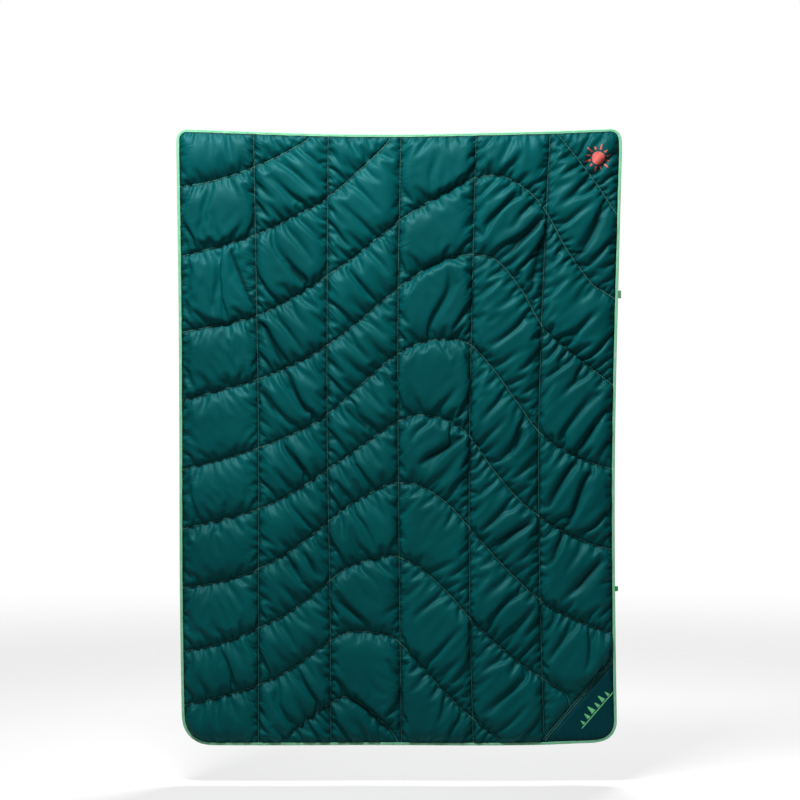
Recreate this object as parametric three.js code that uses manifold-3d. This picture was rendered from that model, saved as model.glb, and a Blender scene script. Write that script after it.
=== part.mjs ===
// A quilted camp blanket, hanging flat from its top hem.
// Millimetres, +Z up, +X across the width. The front faces -Y and the back faces +Y.
// The origin is the outer edge of the binding at the middle of the top hem.

import * as THREE from 'three';
import Module from 'manifold-3d';
import { mergeVertices } from 'three/addons/utils/BufferGeometryUtils.js';

const wasm = await Module();
wasm.setup();

// Thicknesses, each measured from the mid plane outwards.
const GAP = 0.3; // air left between neighbouring pieces
const BATT_AT_SEAM = 0.6; // half thickness of the batting where it is sewn down
const SHELL = 0.5;
const TAPE = 0.7; // binding tape
const THREAD = 0.4; // half the width of a thread
const LOFT = 11.5; // how far a full pillow rises above its seams, on each face
const LOFT_RUN = 42; // distance from a seam to full loft
const PATCH_LOFT = 4; // the corner under the patch is nearly flat
const SHELL_FACE = BATT_AT_SEAM + GAP + SHELL; // outer face of either shell at a seam

// The edge.
const WEB = GAP + TAPE; // binding outside the shells' cut edge
const FLANGE = 4.5; // binding on each face, inside the cut edge
const MARGIN = 6; // flat allowance around the quilting
const TOP_RADIUS = 18;
const LEFT_RADIUS = 60; // bottom left corner
const RIGHT_RADIUS = 42; // bottom right corner
const COLUMN = 160; // pitch of the upright seams
const SAME_POINT = 0.01; // points closer than this are one

// The hanging shape. Each row below is one line of the blanket from top to bottom: its X at
// five heights, evenly spaced over the drop. The first and last are the binding's outer edges.
const DROP = 1318;
const UPRIGHTS = [
  [-481, -476, -474, -473, -468],
  [-314, -308, -303, -303, -303],
  [-153, -155, -155, -149, -147],
  [4, -2, -2, 1, 5],
  [166, 158, 152, 152, 160],
  [326, 310, 301, 304, 313],
  [482, 473, 466, 466, 471],
];
const TOP_EDGE = [12, 6, 1, 0, 3, 7, 13]; // Z of the outer edge on each of those lines
const BOTTOM_EDGE = [-DROP, -DROP, -DROP, -DROP, -DROP, -DROP + 1, -DROP + 9];

// The quilting waves, from top to bottom: Z at the left edge, then at every half column.
// A wave is sewn only where it lies between the hems. The eighth and ninth both end on the
// slanted edge of the corner patch, which the last three numbers of each follow.
const WAVES = [
  [-114, -99, -70, -33, 20, 75, 118, 139, 150, 150, 139, 96, 60],
  [-265, -242, -217, -180, -136, -68, 10, 74, 107, 85, 14, -72, -181],
  [-428, -411, -391, -353, -304, -251, -186, -135, -94, -97, -168, -298, -359],
  [-575, -553, -528, -497, -455, -397, -331, -279, -259, -292, -411, -482, -545],
  [-725, -702, -676, -646, -604, -536, -473, -443, -455, -540, -641, -695, -724],
  [-853, -832, -808, -772, -722, -672, -619, -606, -651, -754, -823, -871, -898],
  [-979, -965, -937, -893, -834, -780, -752, -772, -847, -933, -1004, -1049, -1079],
  [-1116, -1098, -1064, -1024, -962, -917, -913, -959, -1043, -1117, -1173, -1209, -1118],
  [-1233, -1213, -1187, -1149, -1092, -1068, -1098, -1184, -1259, -1311, -1296, -1209, -1118],
  [-1414, -1381, -1343, -1287, -1227, -1224, -1316, -1371, -1414, -1435, -1435, -1435, -1435],
];
const HALF_COLUMNS = WAVES[0].length - 1;
const PATCH_ROW = 8; // index of the wave that becomes the patch's slanted edge
const PATCH_COLUMN = 5; // the patch lies beyond this upright seam

// Mesh lines across the width, counted in columns from the left edge. Whole numbers are the
// upright seams, and the close ones at both ends carry the rounded corners.
const EDGE_STATIONS = [0, MARGIN / COLUMN, 0.108, 0.21, 0.36];
const STATIONS = [
  ...EDGE_STATIONS, 0.69, 1, 1.35, 1.72, 2, 2.3, 2.8, 3, 3.3, 3.7, 4, 4.34, 4.7, 5, 5.3,
  ...EDGE_STATIONS.map((station) => UPRIGHTS.length - 1 - station).reverse(),
];
const LAST = UPRIGHTS.length - 1;
const BAND_STEPS = [0, 0.3, 0.7]; // mesh lines inside each band between two waves

const TEAL = { color: 0x0b4f50, roughness: 0.45, metalness: 0 };
const TEAL_BACK = { color: 0x0a4346, roughness: 0.5, metalness: 0 };
const TEAL_PATCH = { color: 0x073c42, roughness: 0.5, metalness: 0 };
const BATTING = { color: 0xe9e8e2, roughness: 0.95, metalness: 0 };
const MINT = { color: 0x8fdcae, roughness: 0.7, metalness: 0 };
const THREAD_GREEN = { color: 0x6f8a68, roughness: 0.8, metalness: 0 };
const CORAL = { color: 0xe0675c, roughness: 0.6, metalness: 0 };
const SAGE = { color: 0x7fb189, roughness: 0.7, metalness: 0 };
const LEAF = { color: 0x2ba043, roughness: 0.7, metalness: 0 };
const LABEL = { color: 0xe4e6e0, roughness: 0.6, metalness: 0 };

const blanket = new THREE.Group();

function add(name, geometry, look) {
  const mesh = new THREE.Mesh(geometry, new THREE.MeshStandardMaterial(look));
  mesh.name = name;
  blanket.add(mesh);
  return mesh;
}

// ---- Curves through evenly spaced values ----

function along(values, t) {
  const i = THREE.MathUtils.clamp(Math.floor(t), 0, values.length - 2);
  const f = t - i;
  const before = i > 0 ? values[i - 1] : 2 * values[0] - values[1];
  const [a, b] = [values[i], values[i + 1]];
  const after = i + 2 < values.length ? values[i + 2] : 2 * b - a;
  const rise = (b - before) / 2;
  const fall = (after - a) / 2;
  return a + rise * f + (3 * (b - a) - 2 * rise - fall) * f * f
    + (2 * (a - b) + rise + fall) * f * f * f;
}

// X of a station at height z: between the two nearest upright lines.
function stationX(station, z) {
  const t = (-z / DROP) * (UPRIGHTS[0].length - 1);
  const i = Math.min(Math.floor(station), LAST - 1);
  const x = UPRIGHTS.map((line) => along(line, THREE.MathUtils.clamp(t, 0, line.length - 1)));
  x[0] += WEB;
  x[LAST] -= WEB;
  return THREE.MathUtils.lerp(x[i], x[i + 1], station - i);
}

// How far a corner of the given radius cuts in from a straight hem, at a distance from the side.
function cornerRise(radius, aside) {
  return aside >= radius ? 0 : radius - Math.sqrt(radius ** 2 - (radius - aside) ** 2);
}

// The Z range of the cloth at a station, inset by a margin from the cut edge.
function reach(station, inset) {
  const left = station < LAST / 2;
  const aside = COLUMN * (left ? station : LAST - station);
  const edge = Math.min(inset, aside);
  const rise = (radius) => edge + cornerRise(Math.max(radius - edge, 0), aside - edge);
  return {
    top: along(TOP_EDGE, station) - WEB - rise(TOP_RADIUS),
    bottom: along(BOTTOM_EDGE, station) + WEB + rise(left ? LEFT_RADIUS : RIGHT_RADIUS),
  };
}

// ---- The quilted grid ----
// Every layer of the quilt has the same lines: stations across, and down each station the
// hem, the margin, each wave with two lines between it and the next, the margin and the hem.

function railsAt(station) {
  const inner = reach(station, MARGIN);
  const waves = WAVES.map((wave) => along(wave, station * 2));
  const rails = [inner.top, ...waves, inner.bottom];
  for (let i = 1; i < rails.length; i += 1) {
    rails[i] = THREE.MathUtils.clamp(rails[i], inner.bottom, rails[i - 1]);
  }
  return rails;
}

// Height of the pillow at a point, from its distance to the nearest seam.
function loftAt(station, z, rails, band) {
  const column = Math.min(Math.floor(station), LAST - 1);
  const onPatch = band === PATCH_ROW + 1 && station > PATCH_COLUMN;
  const sides = [stationX(column, z), stationX(column + 1, z)];
  if (column === 0) sides[0] += MARGIN;
  if (column === LAST - 1) sides[1] -= MARGIN;
  const x = stationX(station, z);
  const fromSides = onPatch ? sides[1] - x : Math.min(x - sides[0], sides[1] - x);
  const fromWaves = Math.min(rails[band] - z, z - rails[band + 1]);
  const share = THREE.MathUtils.clamp(Math.min(fromSides, fromWaves) / LOFT_RUN, 0, 1);
  return (onPatch ? PATCH_LOFT : LOFT) * (1 - (1 - share) ** 2);
}

const grid = STATIONS.map((station) => {
  const outer = reach(station, 0);
  const rails = railsAt(station);
  const line = [{ z: outer.top, loft: 0 }];
  rails.slice(0, -1).forEach((rail, band) => {
    BAND_STEPS.forEach((step) => {
      const z = THREE.MathUtils.lerp(rail, rails[band + 1], step);
      line.push({ z, loft: step === 0 ? 0 : loftAt(station, z, rails, band) });
    });
  });
  line.push({ z: rails[rails.length - 1], loft: 0 }, { z: outer.bottom, loft: 0 });
  return line.map((point) => ({ ...point, x: stationX(station, point.z) }));
});
const ROWS = grid[0].length;
const railRow = (wave) => 1 + BAND_STEPS.length * (wave + 1);

// The closed loop of grid points around a block of the grid, anticlockwise from the front.
function loopAround(first, last, top, bottom, keepRow = () => true) {
  const loop = [];
  for (let i = first; i <= last; i += 1) loop.push(grid[i][bottom]);
  for (let j = bottom - 1; j > top; j -= 1) if (keepRow(j)) loop.push(grid[last][j]);
  for (let i = last; i >= first; i -= 1) loop.push(grid[i][top]);
  for (let j = top + 1; j < bottom; j += 1) if (keepRow(j)) loop.push(grid[first][j]);
  return loop.filter((point, i) => {
    const next = loop[(i + 1) % loop.length];
    return Math.hypot(next.x - point.x, next.z - point.z) > SAME_POINT;
  });
}

// A closed solid between two faces that share the grid's lines. Each face is a function of the
// loft. Lines that meet at a hem share their points, and the flat triangles there are dropped.
function quiltLayer(frontFace, backFace, inset = 0) {
  const positions = [];
  const index = [];
  const numbers = new Map();
  const numberOf = (point) => {
    const key = `${point.x.toFixed(3)} ${point.z.toFixed(3)}`;
    if (!numbers.has(key)) {
      numbers.set(key, numbers.size);
      positions.push(point.x, frontFace(point.loft), point.z);
      positions.push(point.x, backFace(point.loft), point.z);
    }
    return numbers.get(key);
  };
  const triangle = (a, b, c) => {
    if (a === b || b === c || c === a) return;
    index.push(2 * a, 2 * b, 2 * c, 2 * a + 1, 2 * c + 1, 2 * b + 1);
  };
  const [first, last] = [inset, STATIONS.length - 1 - inset];
  const [top, bottom] = [inset, ROWS - 1 - inset];
  for (let i = first; i < last; i += 1) {
    for (let j = top; j < bottom; j += 1) {
      const corners = [grid[i][j + 1], grid[i + 1][j + 1], grid[i + 1][j], grid[i][j]];
      const [a, b, c, d] = corners.map(numberOf);
      const lofts = corners.map((corner) => corner.loft);
      if (lofts[0] + lofts[2] >= lofts[1] + lofts[3]) {
        triangle(a, b, c);
        triangle(a, c, d);
      } else {
        triangle(a, b, d);
        triangle(b, c, d);
      }
    }
  }
  const rim = loopAround(first, last, top, bottom).map(numberOf);
  rim.forEach((a, i) => {
    const b = rim[(i + 1) % rim.length];
    index.push(2 * a, 2 * a + 1, 2 * b + 1, 2 * a, 2 * b + 1, 2 * b);
  });
  const geometry = new THREE.BufferGeometry();
  geometry.setAttribute('position', new THREE.Float32BufferAttribute(positions, 3));
  geometry.setIndex(index);
  return geometry;
}

// ---- Tape and thread: a section carried along a line in the XZ plane ----
// The section's points are [outwards, y]. Each corner of the line is mitred.

function sweep(line, section, closed) {
  const points = line.map((point) => new THREE.Vector2(point.x, point.z));
  const count = points.length;
  const positions = [];
  const index = [];
  points.forEach((point, i) => {
    const before = points[closed ? (i + count - 1) % count : Math.max(i - 1, 0)];
    const after = points[closed ? (i + 1) % count : Math.min(i + 1, count - 1)];
    const into = (i > 0 || closed ? point.clone().sub(before) : after.clone().sub(point)).normalize();
    const out = (i < count - 1 || closed ? after.clone().sub(point) : into.clone()).normalize();
    const mitre = new THREE.Vector2(into.y + out.y, -into.x - out.x).normalize();
    const stretch = 1 / (mitre.x * out.y - mitre.y * out.x);
    section.forEach(([outwards, y]) => {
      const step = outwards * stretch;
      positions.push(point.x + mitre.x * step, y, point.y + mitre.y * step);
    });
  });
  const size = section.length;
  for (let i = 0; i < (closed ? count : count - 1); i += 1) {
    for (let k = 0; k < size; k += 1) {
      const [a, b] = [i * size + k, i * size + ((k + 1) % size)];
      const [c, d] = [((i + 1) % count) * size + k, ((i + 1) % count) * size + ((k + 1) % size)];
      index.push(a, b, d, a, d, c);
    }
  }
  if (!closed) {
    const end = (count - 1) * size;
    for (let k = 1; k < size - 1; k += 1) {
      index.push(0, k + 1, k, end, end + k, end + k + 1);
    }
  }
  const geometry = new THREE.BufferGeometry();
  geometry.setAttribute('position', new THREE.Float32BufferAttribute(positions, 3));
  geometry.setIndex(index);
  return geometry;
}

const threadSection = (outwards, y) => [
  [outwards - THREAD, y],
  [outwards, y - THREAD],
  [outwards + THREAD, y],
  [outwards, y + THREAD],
];

// ---- Cutting with manifold-3d ----

const WELD = 1e-4; // how far apart two corners of one mesh may be and still be one
const ARC_STEPS = 4; // straight steps in a quarter turn
const THROUGH = 4 * (LOFT + SHELL_FACE); // deep enough to run right through the blanket
const INSIDE_MARGIN = 1; // grid lines left out at each edge

function toSolid(geometry) {
  const bare = geometry.clone();
  Object.keys(bare.attributes).forEach((name) => {
    if (name !== 'position') bare.deleteAttribute(name);
  });
  const merged = mergeVertices(bare, WELD);
  return new wasm.Manifold(new wasm.Mesh({
    numProp: 3,
    vertProperties: new Float32Array(merged.attributes.position.array),
    triVerts: new Uint32Array(merged.index.array),
  }));
}

function toGeometry(solid) {
  const mesh = solid.getMesh();
  const geometry = new THREE.BufferGeometry();
  geometry.setAttribute('position', new THREE.Float32BufferAttribute(mesh.vertProperties, 3));
  geometry.setIndex([...mesh.triVerts]);
  return geometry;
}

// A shape drawn as seen from the front, made into a block that runs through the blanket along Y.
function punch(shape) {
  const options = { depth: THROUGH, bevelEnabled: false, curveSegments: ARC_STEPS };
  const block = new THREE.ExtrudeGeometry(shape, options);
  return toSolid(block.translate(0, 0, -THROUGH / 2).rotateX(Math.PI / 2));
}

// A thin layer on the front of the quilt, inside the margin, starting at a height over the shell.
function film(over, thickness) {
  const under = SHELL_FACE + over;
  const frontFace = (loft) => -(under + thickness + loft);
  const backFace = (loft) => -(under + loft);
  return toSolid(quiltLayer(frontFace, backFace, INSIDE_MARGIN));
}

// ---- The quilt ----

const battFace = (loft) => BATT_AT_SEAM + loft;
const shellInside = (loft) => battFace(loft) + GAP;
const shellOutside = (loft) => battFace(loft) + GAP + SHELL;
add('front_shell', quiltLayer((loft) => -shellOutside(loft), (loft) => -shellInside(loft)), TEAL);
add('insulation', quiltLayer((loft) => -battFace(loft), battFace), BATTING);
add('back_shell', quiltLayer(shellInside, shellOutside), TEAL_BACK);

// ---- Binding: tape folded over the cut edge, with a row of thread on each face ----

const onRail = (row) => (row - 1) % BAND_STEPS.length === 0;
const cutEdge = loopAround(0, STATIONS.length - 1, 0, ROWS - 1, onRail);
const slot = SHELL_FACE + GAP;
const tapeFace = slot + TAPE;
add('edge_binding', sweep(cutEdge, [
  [-FLANGE, -tapeFace], [WEB, -tapeFace], [WEB, tapeFace], [-FLANGE, tapeFace],
  [-FLANGE, slot], [GAP, slot], [GAP, -slot], [-FLANGE, -slot],
], true), MINT);
const bindingThread = tapeFace + GAP + THREAD;
const bindingRow = FLANGE / 2;
add('binding_stitch_front', sweep(cutEdge, threadSection(-bindingRow, -bindingThread), true), MINT);
add('binding_stitch_back', sweep(cutEdge, threadSection(-bindingRow, bindingThread), true), MINT);

// ---- Quilting thread. The uprights lie deepest, and the waves cross over them. ----

const SEAT = 0.2; // extra air under a thread in its groove
const uprightThread = SHELL_FACE + GAP + SEAT + THREAD;
const waveThread = uprightThread + 2 * THREAD + GAP;
const SHORT_OF_MARGIN = 4; // how far a row of quilting stops short of the binding

// Moves each end of a line back along itself.
function trimmed(line, start, end) {
  const back = (point, towards, by) => {
    const share = by / Math.hypot(towards.x - point.x, towards.z - point.z);
    return {
      x: THREE.MathUtils.lerp(point.x, towards.x, share),
      z: THREE.MathUtils.lerp(point.z, towards.z, share),
    };
  };
  const inner = line.slice(1, -1);
  const n = line.length;
  return [back(line[0], line[1], start), ...inner, back(line[n - 1], line[n - 2], end)];
}

for (let seam = 1; seam < LAST; seam += 1) {
  const column = grid[STATIONS.indexOf(seam)];
  const last = seam === PATCH_COLUMN ? railRow(PATCH_ROW) : railRow(WAVES.length);
  const line = column.filter((point, row) => onRail(row) && row <= last);
  const apart = line.filter((point, i) => i === 0 || line[i - 1].z - point.z > SHORT_OF_MARGIN);
  const thread = trimmed(apart, SHORT_OF_MARGIN, SHORT_OF_MARGIN);
  add(`upright_seam_${seam}`, sweep(thread, threadSection(0, -uprightThread), false), THREAD_GREEN);
}

const CLEAR_OF_HEM = 1; // a wave nearer than this to the hem's margin is not sewn
const PATCH_ENDS = { [PATCH_ROW - 1]: PATCH_COLUMN + 0.5, [PATCH_ROW]: PATCH_COLUMN };

// A wave's sewn runs: the stretches where it lies clear of both hems and of the patch.
function sewnRuns(wave) {
  const runs = [[]];
  const end = PATCH_ENDS[wave] ?? LAST;
  grid.forEach((column, i) => {
    const point = column[railRow(wave)];
    const inner = reach(STATIONS[i], MARGIN);
    const clear = point.z < inner.top - CLEAR_OF_HEM && point.z > inner.bottom + CLEAR_OF_HEM;
    const inside = i > 0 && i < STATIONS.length - 1 && STATIONS[i] <= end;
    if (clear && inside) runs[runs.length - 1].push(point);
    else if (runs[runs.length - 1].length) runs.push([]);
  });
  return runs.filter((run) => run.length > 1);
}

let waveNumber = 0;
WAVES.forEach((_, wave) => {
  sewnRuns(wave).forEach((run) => {
    waveNumber += 1;
    const meetsLeft = run[0] === grid[1][railRow(wave)];
    const meetsRight = run[run.length - 1] === grid[STATIONS.length - 2][railRow(wave)];
    const thread = trimmed(run, meetsLeft ? SHORT_OF_MARGIN : 0, meetsRight ? SHORT_OF_MARGIN : 0);
    const name = `wave_seam_${String(waveNumber).padStart(2, '0')}`;
    add(name, sweep(thread, threadSection(0, -waveThread), false), THREAD_GREEN);
  });
});

// ---- Corner patch with two rows of topstitching ----

const PATCH = 0.5;
const PATCH_SETBACK = 0.6; // from the slanted seam to the patch's fold
const STITCH_ROWS = [3, 7.5]; // from the slanted seam
const STITCH_ROW_ENDS = [-0.9, 0.8]; // along the slant, as shares of half its length
const PATCH_SWELL = 2; // room for the patch's rise under its two rows

// The point of the patch's seam at a half column.
function patchSeam(halfColumn) {
  const z = WAVES[PATCH_ROW][halfColumn];
  return new THREE.Vector2(stationX(halfColumn / 2, z), z);
}

const slantTop = patchSeam(HALF_COLUMNS);
const slantMiddle = patchSeam(HALF_COLUMNS - 1);
const slantDirection = slantTop.clone().sub(slantMiddle).normalize();
const slantInwards = new THREE.Vector2(slantDirection.y, -slantDirection.x);
const slantLength = slantTop.distanceTo(slantMiddle);

// A point beside the slanted seam: how far along it from its middle, and how far into the patch.
function besideSlant(alongIt, inwards) {
  return slantMiddle.clone().addScaledVector(slantDirection, alongIt)
    .addScaledVector(slantInwards, inwards);
}

const patchShape = new THREE.Shape([
  besideSlant(-2 * slantLength, PATCH_SETBACK),
  besideSlant(-2 * slantLength, 3 * slantLength),
  besideSlant(2 * slantLength, 3 * slantLength),
  besideSlant(2 * slantLength, PATCH_SETBACK),
]);
add('corner_patch', toGeometry(film(GAP, PATCH).intersect(punch(patchShape))), TEAL_PATCH);

const patchThread = SHELL_FACE + GAP + PATCH + GAP + PATCH_SWELL + THREAD;
STITCH_ROWS.forEach((inwards, i) => {
  const ends = STITCH_ROW_ENDS.map((share) => {
    const point = besideSlant(share * slantLength, inwards);
    return { x: point.x, z: point.y };
  });
  add(`patch_stitch_${i + 1}`, sweep(ends, threadSection(0, -patchThread), false), THREAD_GREEN);
});

// ---- Two printed marks: a sun near the top corner and a row of pines on the patch ----

const PRINT = 0.3;
const SUN_AT = new THREE.Vector2(429, -52);
const SUN_RADIUS = 31;
const SUN_RAYS = 12;
const SUN_DISC = 0.66; // radius between the rays, as a share of the whole

function sunShape() {
  const points = [];
  for (let i = 0; i < SUN_RAYS * 2; i += 1) {
    const reachOut = i % 2 ? SUN_RADIUS : SUN_RADIUS * SUN_DISC;
    const turn = (i * Math.PI) / SUN_RAYS;
    const point = new THREE.Vector2(reachOut * Math.cos(turn), reachOut * Math.sin(turn));
    points.push(point.add(SUN_AT));
  }
  return new THREE.Shape(points);
}

// The pines, in units of the distance from one tree to the next.
const PINE_PITCH = 16;
const PINE_HEIGHTS = [0.62, 0.9, 0.7, 1, 0.78, 0.58];
const PINE_TALL = 1.25; // height of the tallest tree
const PINE_WIDE = 0.42; // half the width of the tallest tree
const GROUND_DEPTH = 0.16;
const GROUND_PAST = 0.7; // how far the ground runs past the last trunk
const PINES_INWARDS = 49; // from the slanted seam to the ground line

// Trees on one ground line, turned to follow the slant.
function pinesShape(centre, turn) {
  const lastTrunk = (PINE_HEIGHTS.length - 1) / 2;
  const end = lastTrunk + GROUND_PAST;
  const outline = [
    new THREE.Vector2(-end, 0), new THREE.Vector2(-end, -GROUND_DEPTH),
    new THREE.Vector2(end, -GROUND_DEPTH), new THREE.Vector2(end, 0),
  ];
  PINE_HEIGHTS.forEach((height, i) => {
    const trunk = lastTrunk - i;
    outline.push(new THREE.Vector2(trunk + PINE_WIDE * height, 0));
    outline.push(new THREE.Vector2(trunk, PINE_TALL * height));
    outline.push(new THREE.Vector2(trunk - PINE_WIDE * height, 0));
  });
  const origin = new THREE.Vector2();
  return new THREE.Shape(outline.map((point) => (
    point.multiplyScalar(PINE_PITCH).rotateAround(origin, turn).add(centre)
  )));
}

add('sun_emblem', toGeometry(film(GAP, PRINT).intersect(punch(sunShape()))), CORAL);

const slantTurn = Math.atan2(slantDirection.y, slantDirection.x);
const pines = punch(pinesShape(besideSlant(0, PINES_INWARDS), slantTurn));
add('pines_emblem', toGeometry(film(GAP + PATCH + GAP, PRINT).intersect(pines)), MINT);

// ---- Tabs and label: short pieces of tape that swing about their sewn edge ----
// Each is a round root along the seam with a rounded flat leaf growing out of it along +X.

const LEAF_ROUNDING = 0.25; // corner radius as a share of the shorter side
const ROOT_SIDES = 12;

function leaf(width, height, thickness, rootRadius) {
  const radius = Math.min(width, height) * LEAF_ROUNDING;
  const outline = new THREE.Shape();
  outline.moveTo(0, -height / 2);
  outline.lineTo(width - radius, -height / 2);
  outline.absarc(width - radius, -height / 2 + radius, radius, -Math.PI / 2, 0);
  outline.absarc(width - radius, height / 2 - radius, radius, 0, Math.PI / 2);
  outline.lineTo(0, height / 2);
  const options = { depth: thickness, bevelEnabled: false, curveSegments: ARC_STEPS };
  const flat = new THREE.ExtrudeGeometry(outline, options);
  flat.translate(0, 0, -thickness / 2).rotateX(Math.PI / 2);
  const root = new THREE.CylinderGeometry(rootRadius, rootRadius, height, ROOT_SIDES);
  return toGeometry(toSolid(flat).add(toSolid(root.rotateX(Math.PI / 2))));
}

const TAB_THICKNESS = 1.1;
const TAB_ROOT = 1.2;
const TABS = [
  { name: 'upper_side_tab', z: -345, height: 17, width: 5, look: SAGE },
  { name: 'lower_side_tab', z: -980, height: 11, width: 5, look: LEAF },
];
TABS.forEach(({ name, z, height, width, look }) => {
  const tab = add(name, leaf(width, height, TAB_THICKNESS, TAB_ROOT), look);
  tab.position.set(stationX(LAST, z) + WEB + GAP + TAB_ROOT, 0, z);
});

const LABEL_Z = -1046;
const LABEL_SIZE = [24, 42];
const LABEL_THICKNESS = 0.4;
const LABEL_ROOT = 0.6;
const LABEL_ASIDE = 5.6; // its root from the cut edge
const LABEL_HIGH = 3.2; // its root from the mid plane
const LABEL_LEAN = 21.5; // degrees off the mid plane, to lie along the pillow's slope
const label = add('care_label', leaf(...LABEL_SIZE, LABEL_THICKNESS, LABEL_ROOT), LABEL);
label.position.set(stationX(0, LABEL_Z) + LABEL_ASIDE, LABEL_HIGH, LABEL_Z);
label.rotation.z = THREE.MathUtils.degToRad(LABEL_LEAN);

export default blanket;
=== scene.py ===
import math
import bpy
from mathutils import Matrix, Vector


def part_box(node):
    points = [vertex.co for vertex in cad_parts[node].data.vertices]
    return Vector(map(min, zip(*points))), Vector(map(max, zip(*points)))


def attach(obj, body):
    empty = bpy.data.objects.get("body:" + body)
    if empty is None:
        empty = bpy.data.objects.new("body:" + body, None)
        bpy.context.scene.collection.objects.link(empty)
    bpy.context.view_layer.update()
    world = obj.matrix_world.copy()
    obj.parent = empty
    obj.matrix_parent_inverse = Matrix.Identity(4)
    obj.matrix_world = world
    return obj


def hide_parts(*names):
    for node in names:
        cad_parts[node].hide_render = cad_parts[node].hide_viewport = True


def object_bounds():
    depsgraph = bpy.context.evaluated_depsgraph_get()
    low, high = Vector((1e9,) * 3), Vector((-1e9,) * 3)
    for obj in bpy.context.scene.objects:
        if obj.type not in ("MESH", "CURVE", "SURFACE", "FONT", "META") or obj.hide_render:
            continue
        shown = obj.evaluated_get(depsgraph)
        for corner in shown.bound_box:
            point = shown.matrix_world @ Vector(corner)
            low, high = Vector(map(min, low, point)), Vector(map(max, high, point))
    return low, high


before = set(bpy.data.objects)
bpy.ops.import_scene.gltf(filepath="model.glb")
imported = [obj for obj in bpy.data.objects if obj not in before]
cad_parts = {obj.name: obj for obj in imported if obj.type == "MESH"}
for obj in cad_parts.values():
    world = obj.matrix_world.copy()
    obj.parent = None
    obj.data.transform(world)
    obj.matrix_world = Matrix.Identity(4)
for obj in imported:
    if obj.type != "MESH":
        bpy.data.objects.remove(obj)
cad_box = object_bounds()

# The looks of a quilted camp blanket that hangs flat from its top hem. The numbers of the
# cloth work are in millimetres, in the frame's axes: X across, Z up, front face towards -Y.
# A cloth's height is how far it stands off the mid plane, on its own side.

from concurrent.futures import ThreadPoolExecutor

import bpy
import numpy as np
from mathutils import Vector
from mathutils.geometry import delaunay_2d_cdt

MM = 0.001
FRONT, BACK = -1, 1

# The cloth grid.
COLUMNS = 6  # between the two sides and the five upright seams
CELLS = 44  # cloth cells across a column
ROWS = 368  # cloth cells from the top hem to the bottom hem
PITCH = 3.62  # about one cell
LINE_STEP = 4  # between the points of a seam's line

# The edge, measured inwards from the binding's outer edge.
TAPE_ROW = 3.25  # row of stitches
SHELL_EDGE = 2.0  # cut edge of the shells, inside the folded tape
TAPE_WIDTH = 5.9
TAPE_OVER = TAPE_WIDTH - SHELL_EDGE  # how much of a shell the tape covers
SEAM_HEIGHT = 1.0  # of each shell where it is sewn down

# How much cloth there is beyond the flat shape, as a share of its length.
EVEN_SURPLUS = 0.055  # lets a pillow rise
PUCKER_SURPLUS = 0.04  # along the seams, close to them
PUCKER_REACH = 15.0
COLUMN_FOLDS = (0.07, 0.13, 0.10, 0.08, 0.12, 0.12)  # across the long folds
COLUMN_LEAN = (96, 124, 126, 62, 52, 56)  # way the folds run, in degrees from +X
LEAN_WANDER = 14  # degrees
# Of the folds and of the puckers: share always there, share that varies, least and most.
FOLD_RANGE = (0.75, 0.75, 0.05, 2.2)
PUCKER_RANGE = (0.7, 0.8, 0, 2.4)
DRAG_SURPLUS = 0.26  # across the long creases
DRAG_SPREAD = 0.4  # power that widens it beyond the crease itself
PATCH_EVEN, PATCH_FOLDS, PATCH_PUCKERS = 0.004, 0.03, 0.014  # the patch is stretched flatter

# Cells across and down in one bump of each unevenness.
LEAN_BUMP = (30, 40)
FOLD_BUMP = (22, 26)
PUCKER_BUMP = (14, 14)
WOBBLE_BUMP = (2.2, 2.2)

# The finest puckers are left to the material.
FINE_REACH = 46.0  # how far they run off a seam
MIDWAY = 14.0  # over this width between two seams they stop

# The batting under the cloth.
LOFT = 19.0  # its height when nothing presses it
LOFT_RUN = 7.0  # how soon it reaches that height, away from a seam
LOFT_SPRING = 3e-5  # its outward push for each millimetre that it is pressed
CORE = 4.0  # it is never pressed thinner than this, away from seams
CORE_RUN = 25.0
PATCH_CORE = 0.3
ROOF = 18.5  # most that a pillow rises
PATCH_ROOF = 4.5
DRAG_WIDTH = 6.0
DRAG_DEPTH = 0.62  # share of the height that a long crease takes away
DRAG_FADE = 25.0  # from a long crease's end to its full depth

# How the cloth moves to rest.
SAG = 5e-5  # downward pull
SOFT_SQUEEZE = 0.5  # stiffness when squeezed, next to when stretched
SLANT_STIFFNESS = 0.5  # of the links across a cell
SHORTEST = np.float32(0.05)  # length that a link is taken to have at least
STRAIN_LIMITS = (-0.5, 2)
FIRM = np.float32(0.15)  # how firmly the core and the roof hold
TIME_STEP = np.float32(0.22)
EARLY = 0.6  # share of the rounds
EARLY_KEEP, LATE_KEEP = 0.985, 0.93  # share of its speed that the cloth keeps in a round
FIRST_RISE, FIRST_RUN = 6, 20  # height of the pillows at the start, and how soon they reach it
CALM = 1.5  # cells beside a seam over which the starting unevenness fades
FRONT_SEED, BACK_SEED = 7, 19

# Cloth levels: cells per step, rounds, bending stiffness, starting unevenness.
LEVELS = ((4, 300, 1.5, 2.5), (2, 260, 0.5, 0.8), (1, 170, 0.08, 0.2))
NEAREST_BLOCK = 8000  # points that are measured at a time

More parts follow.
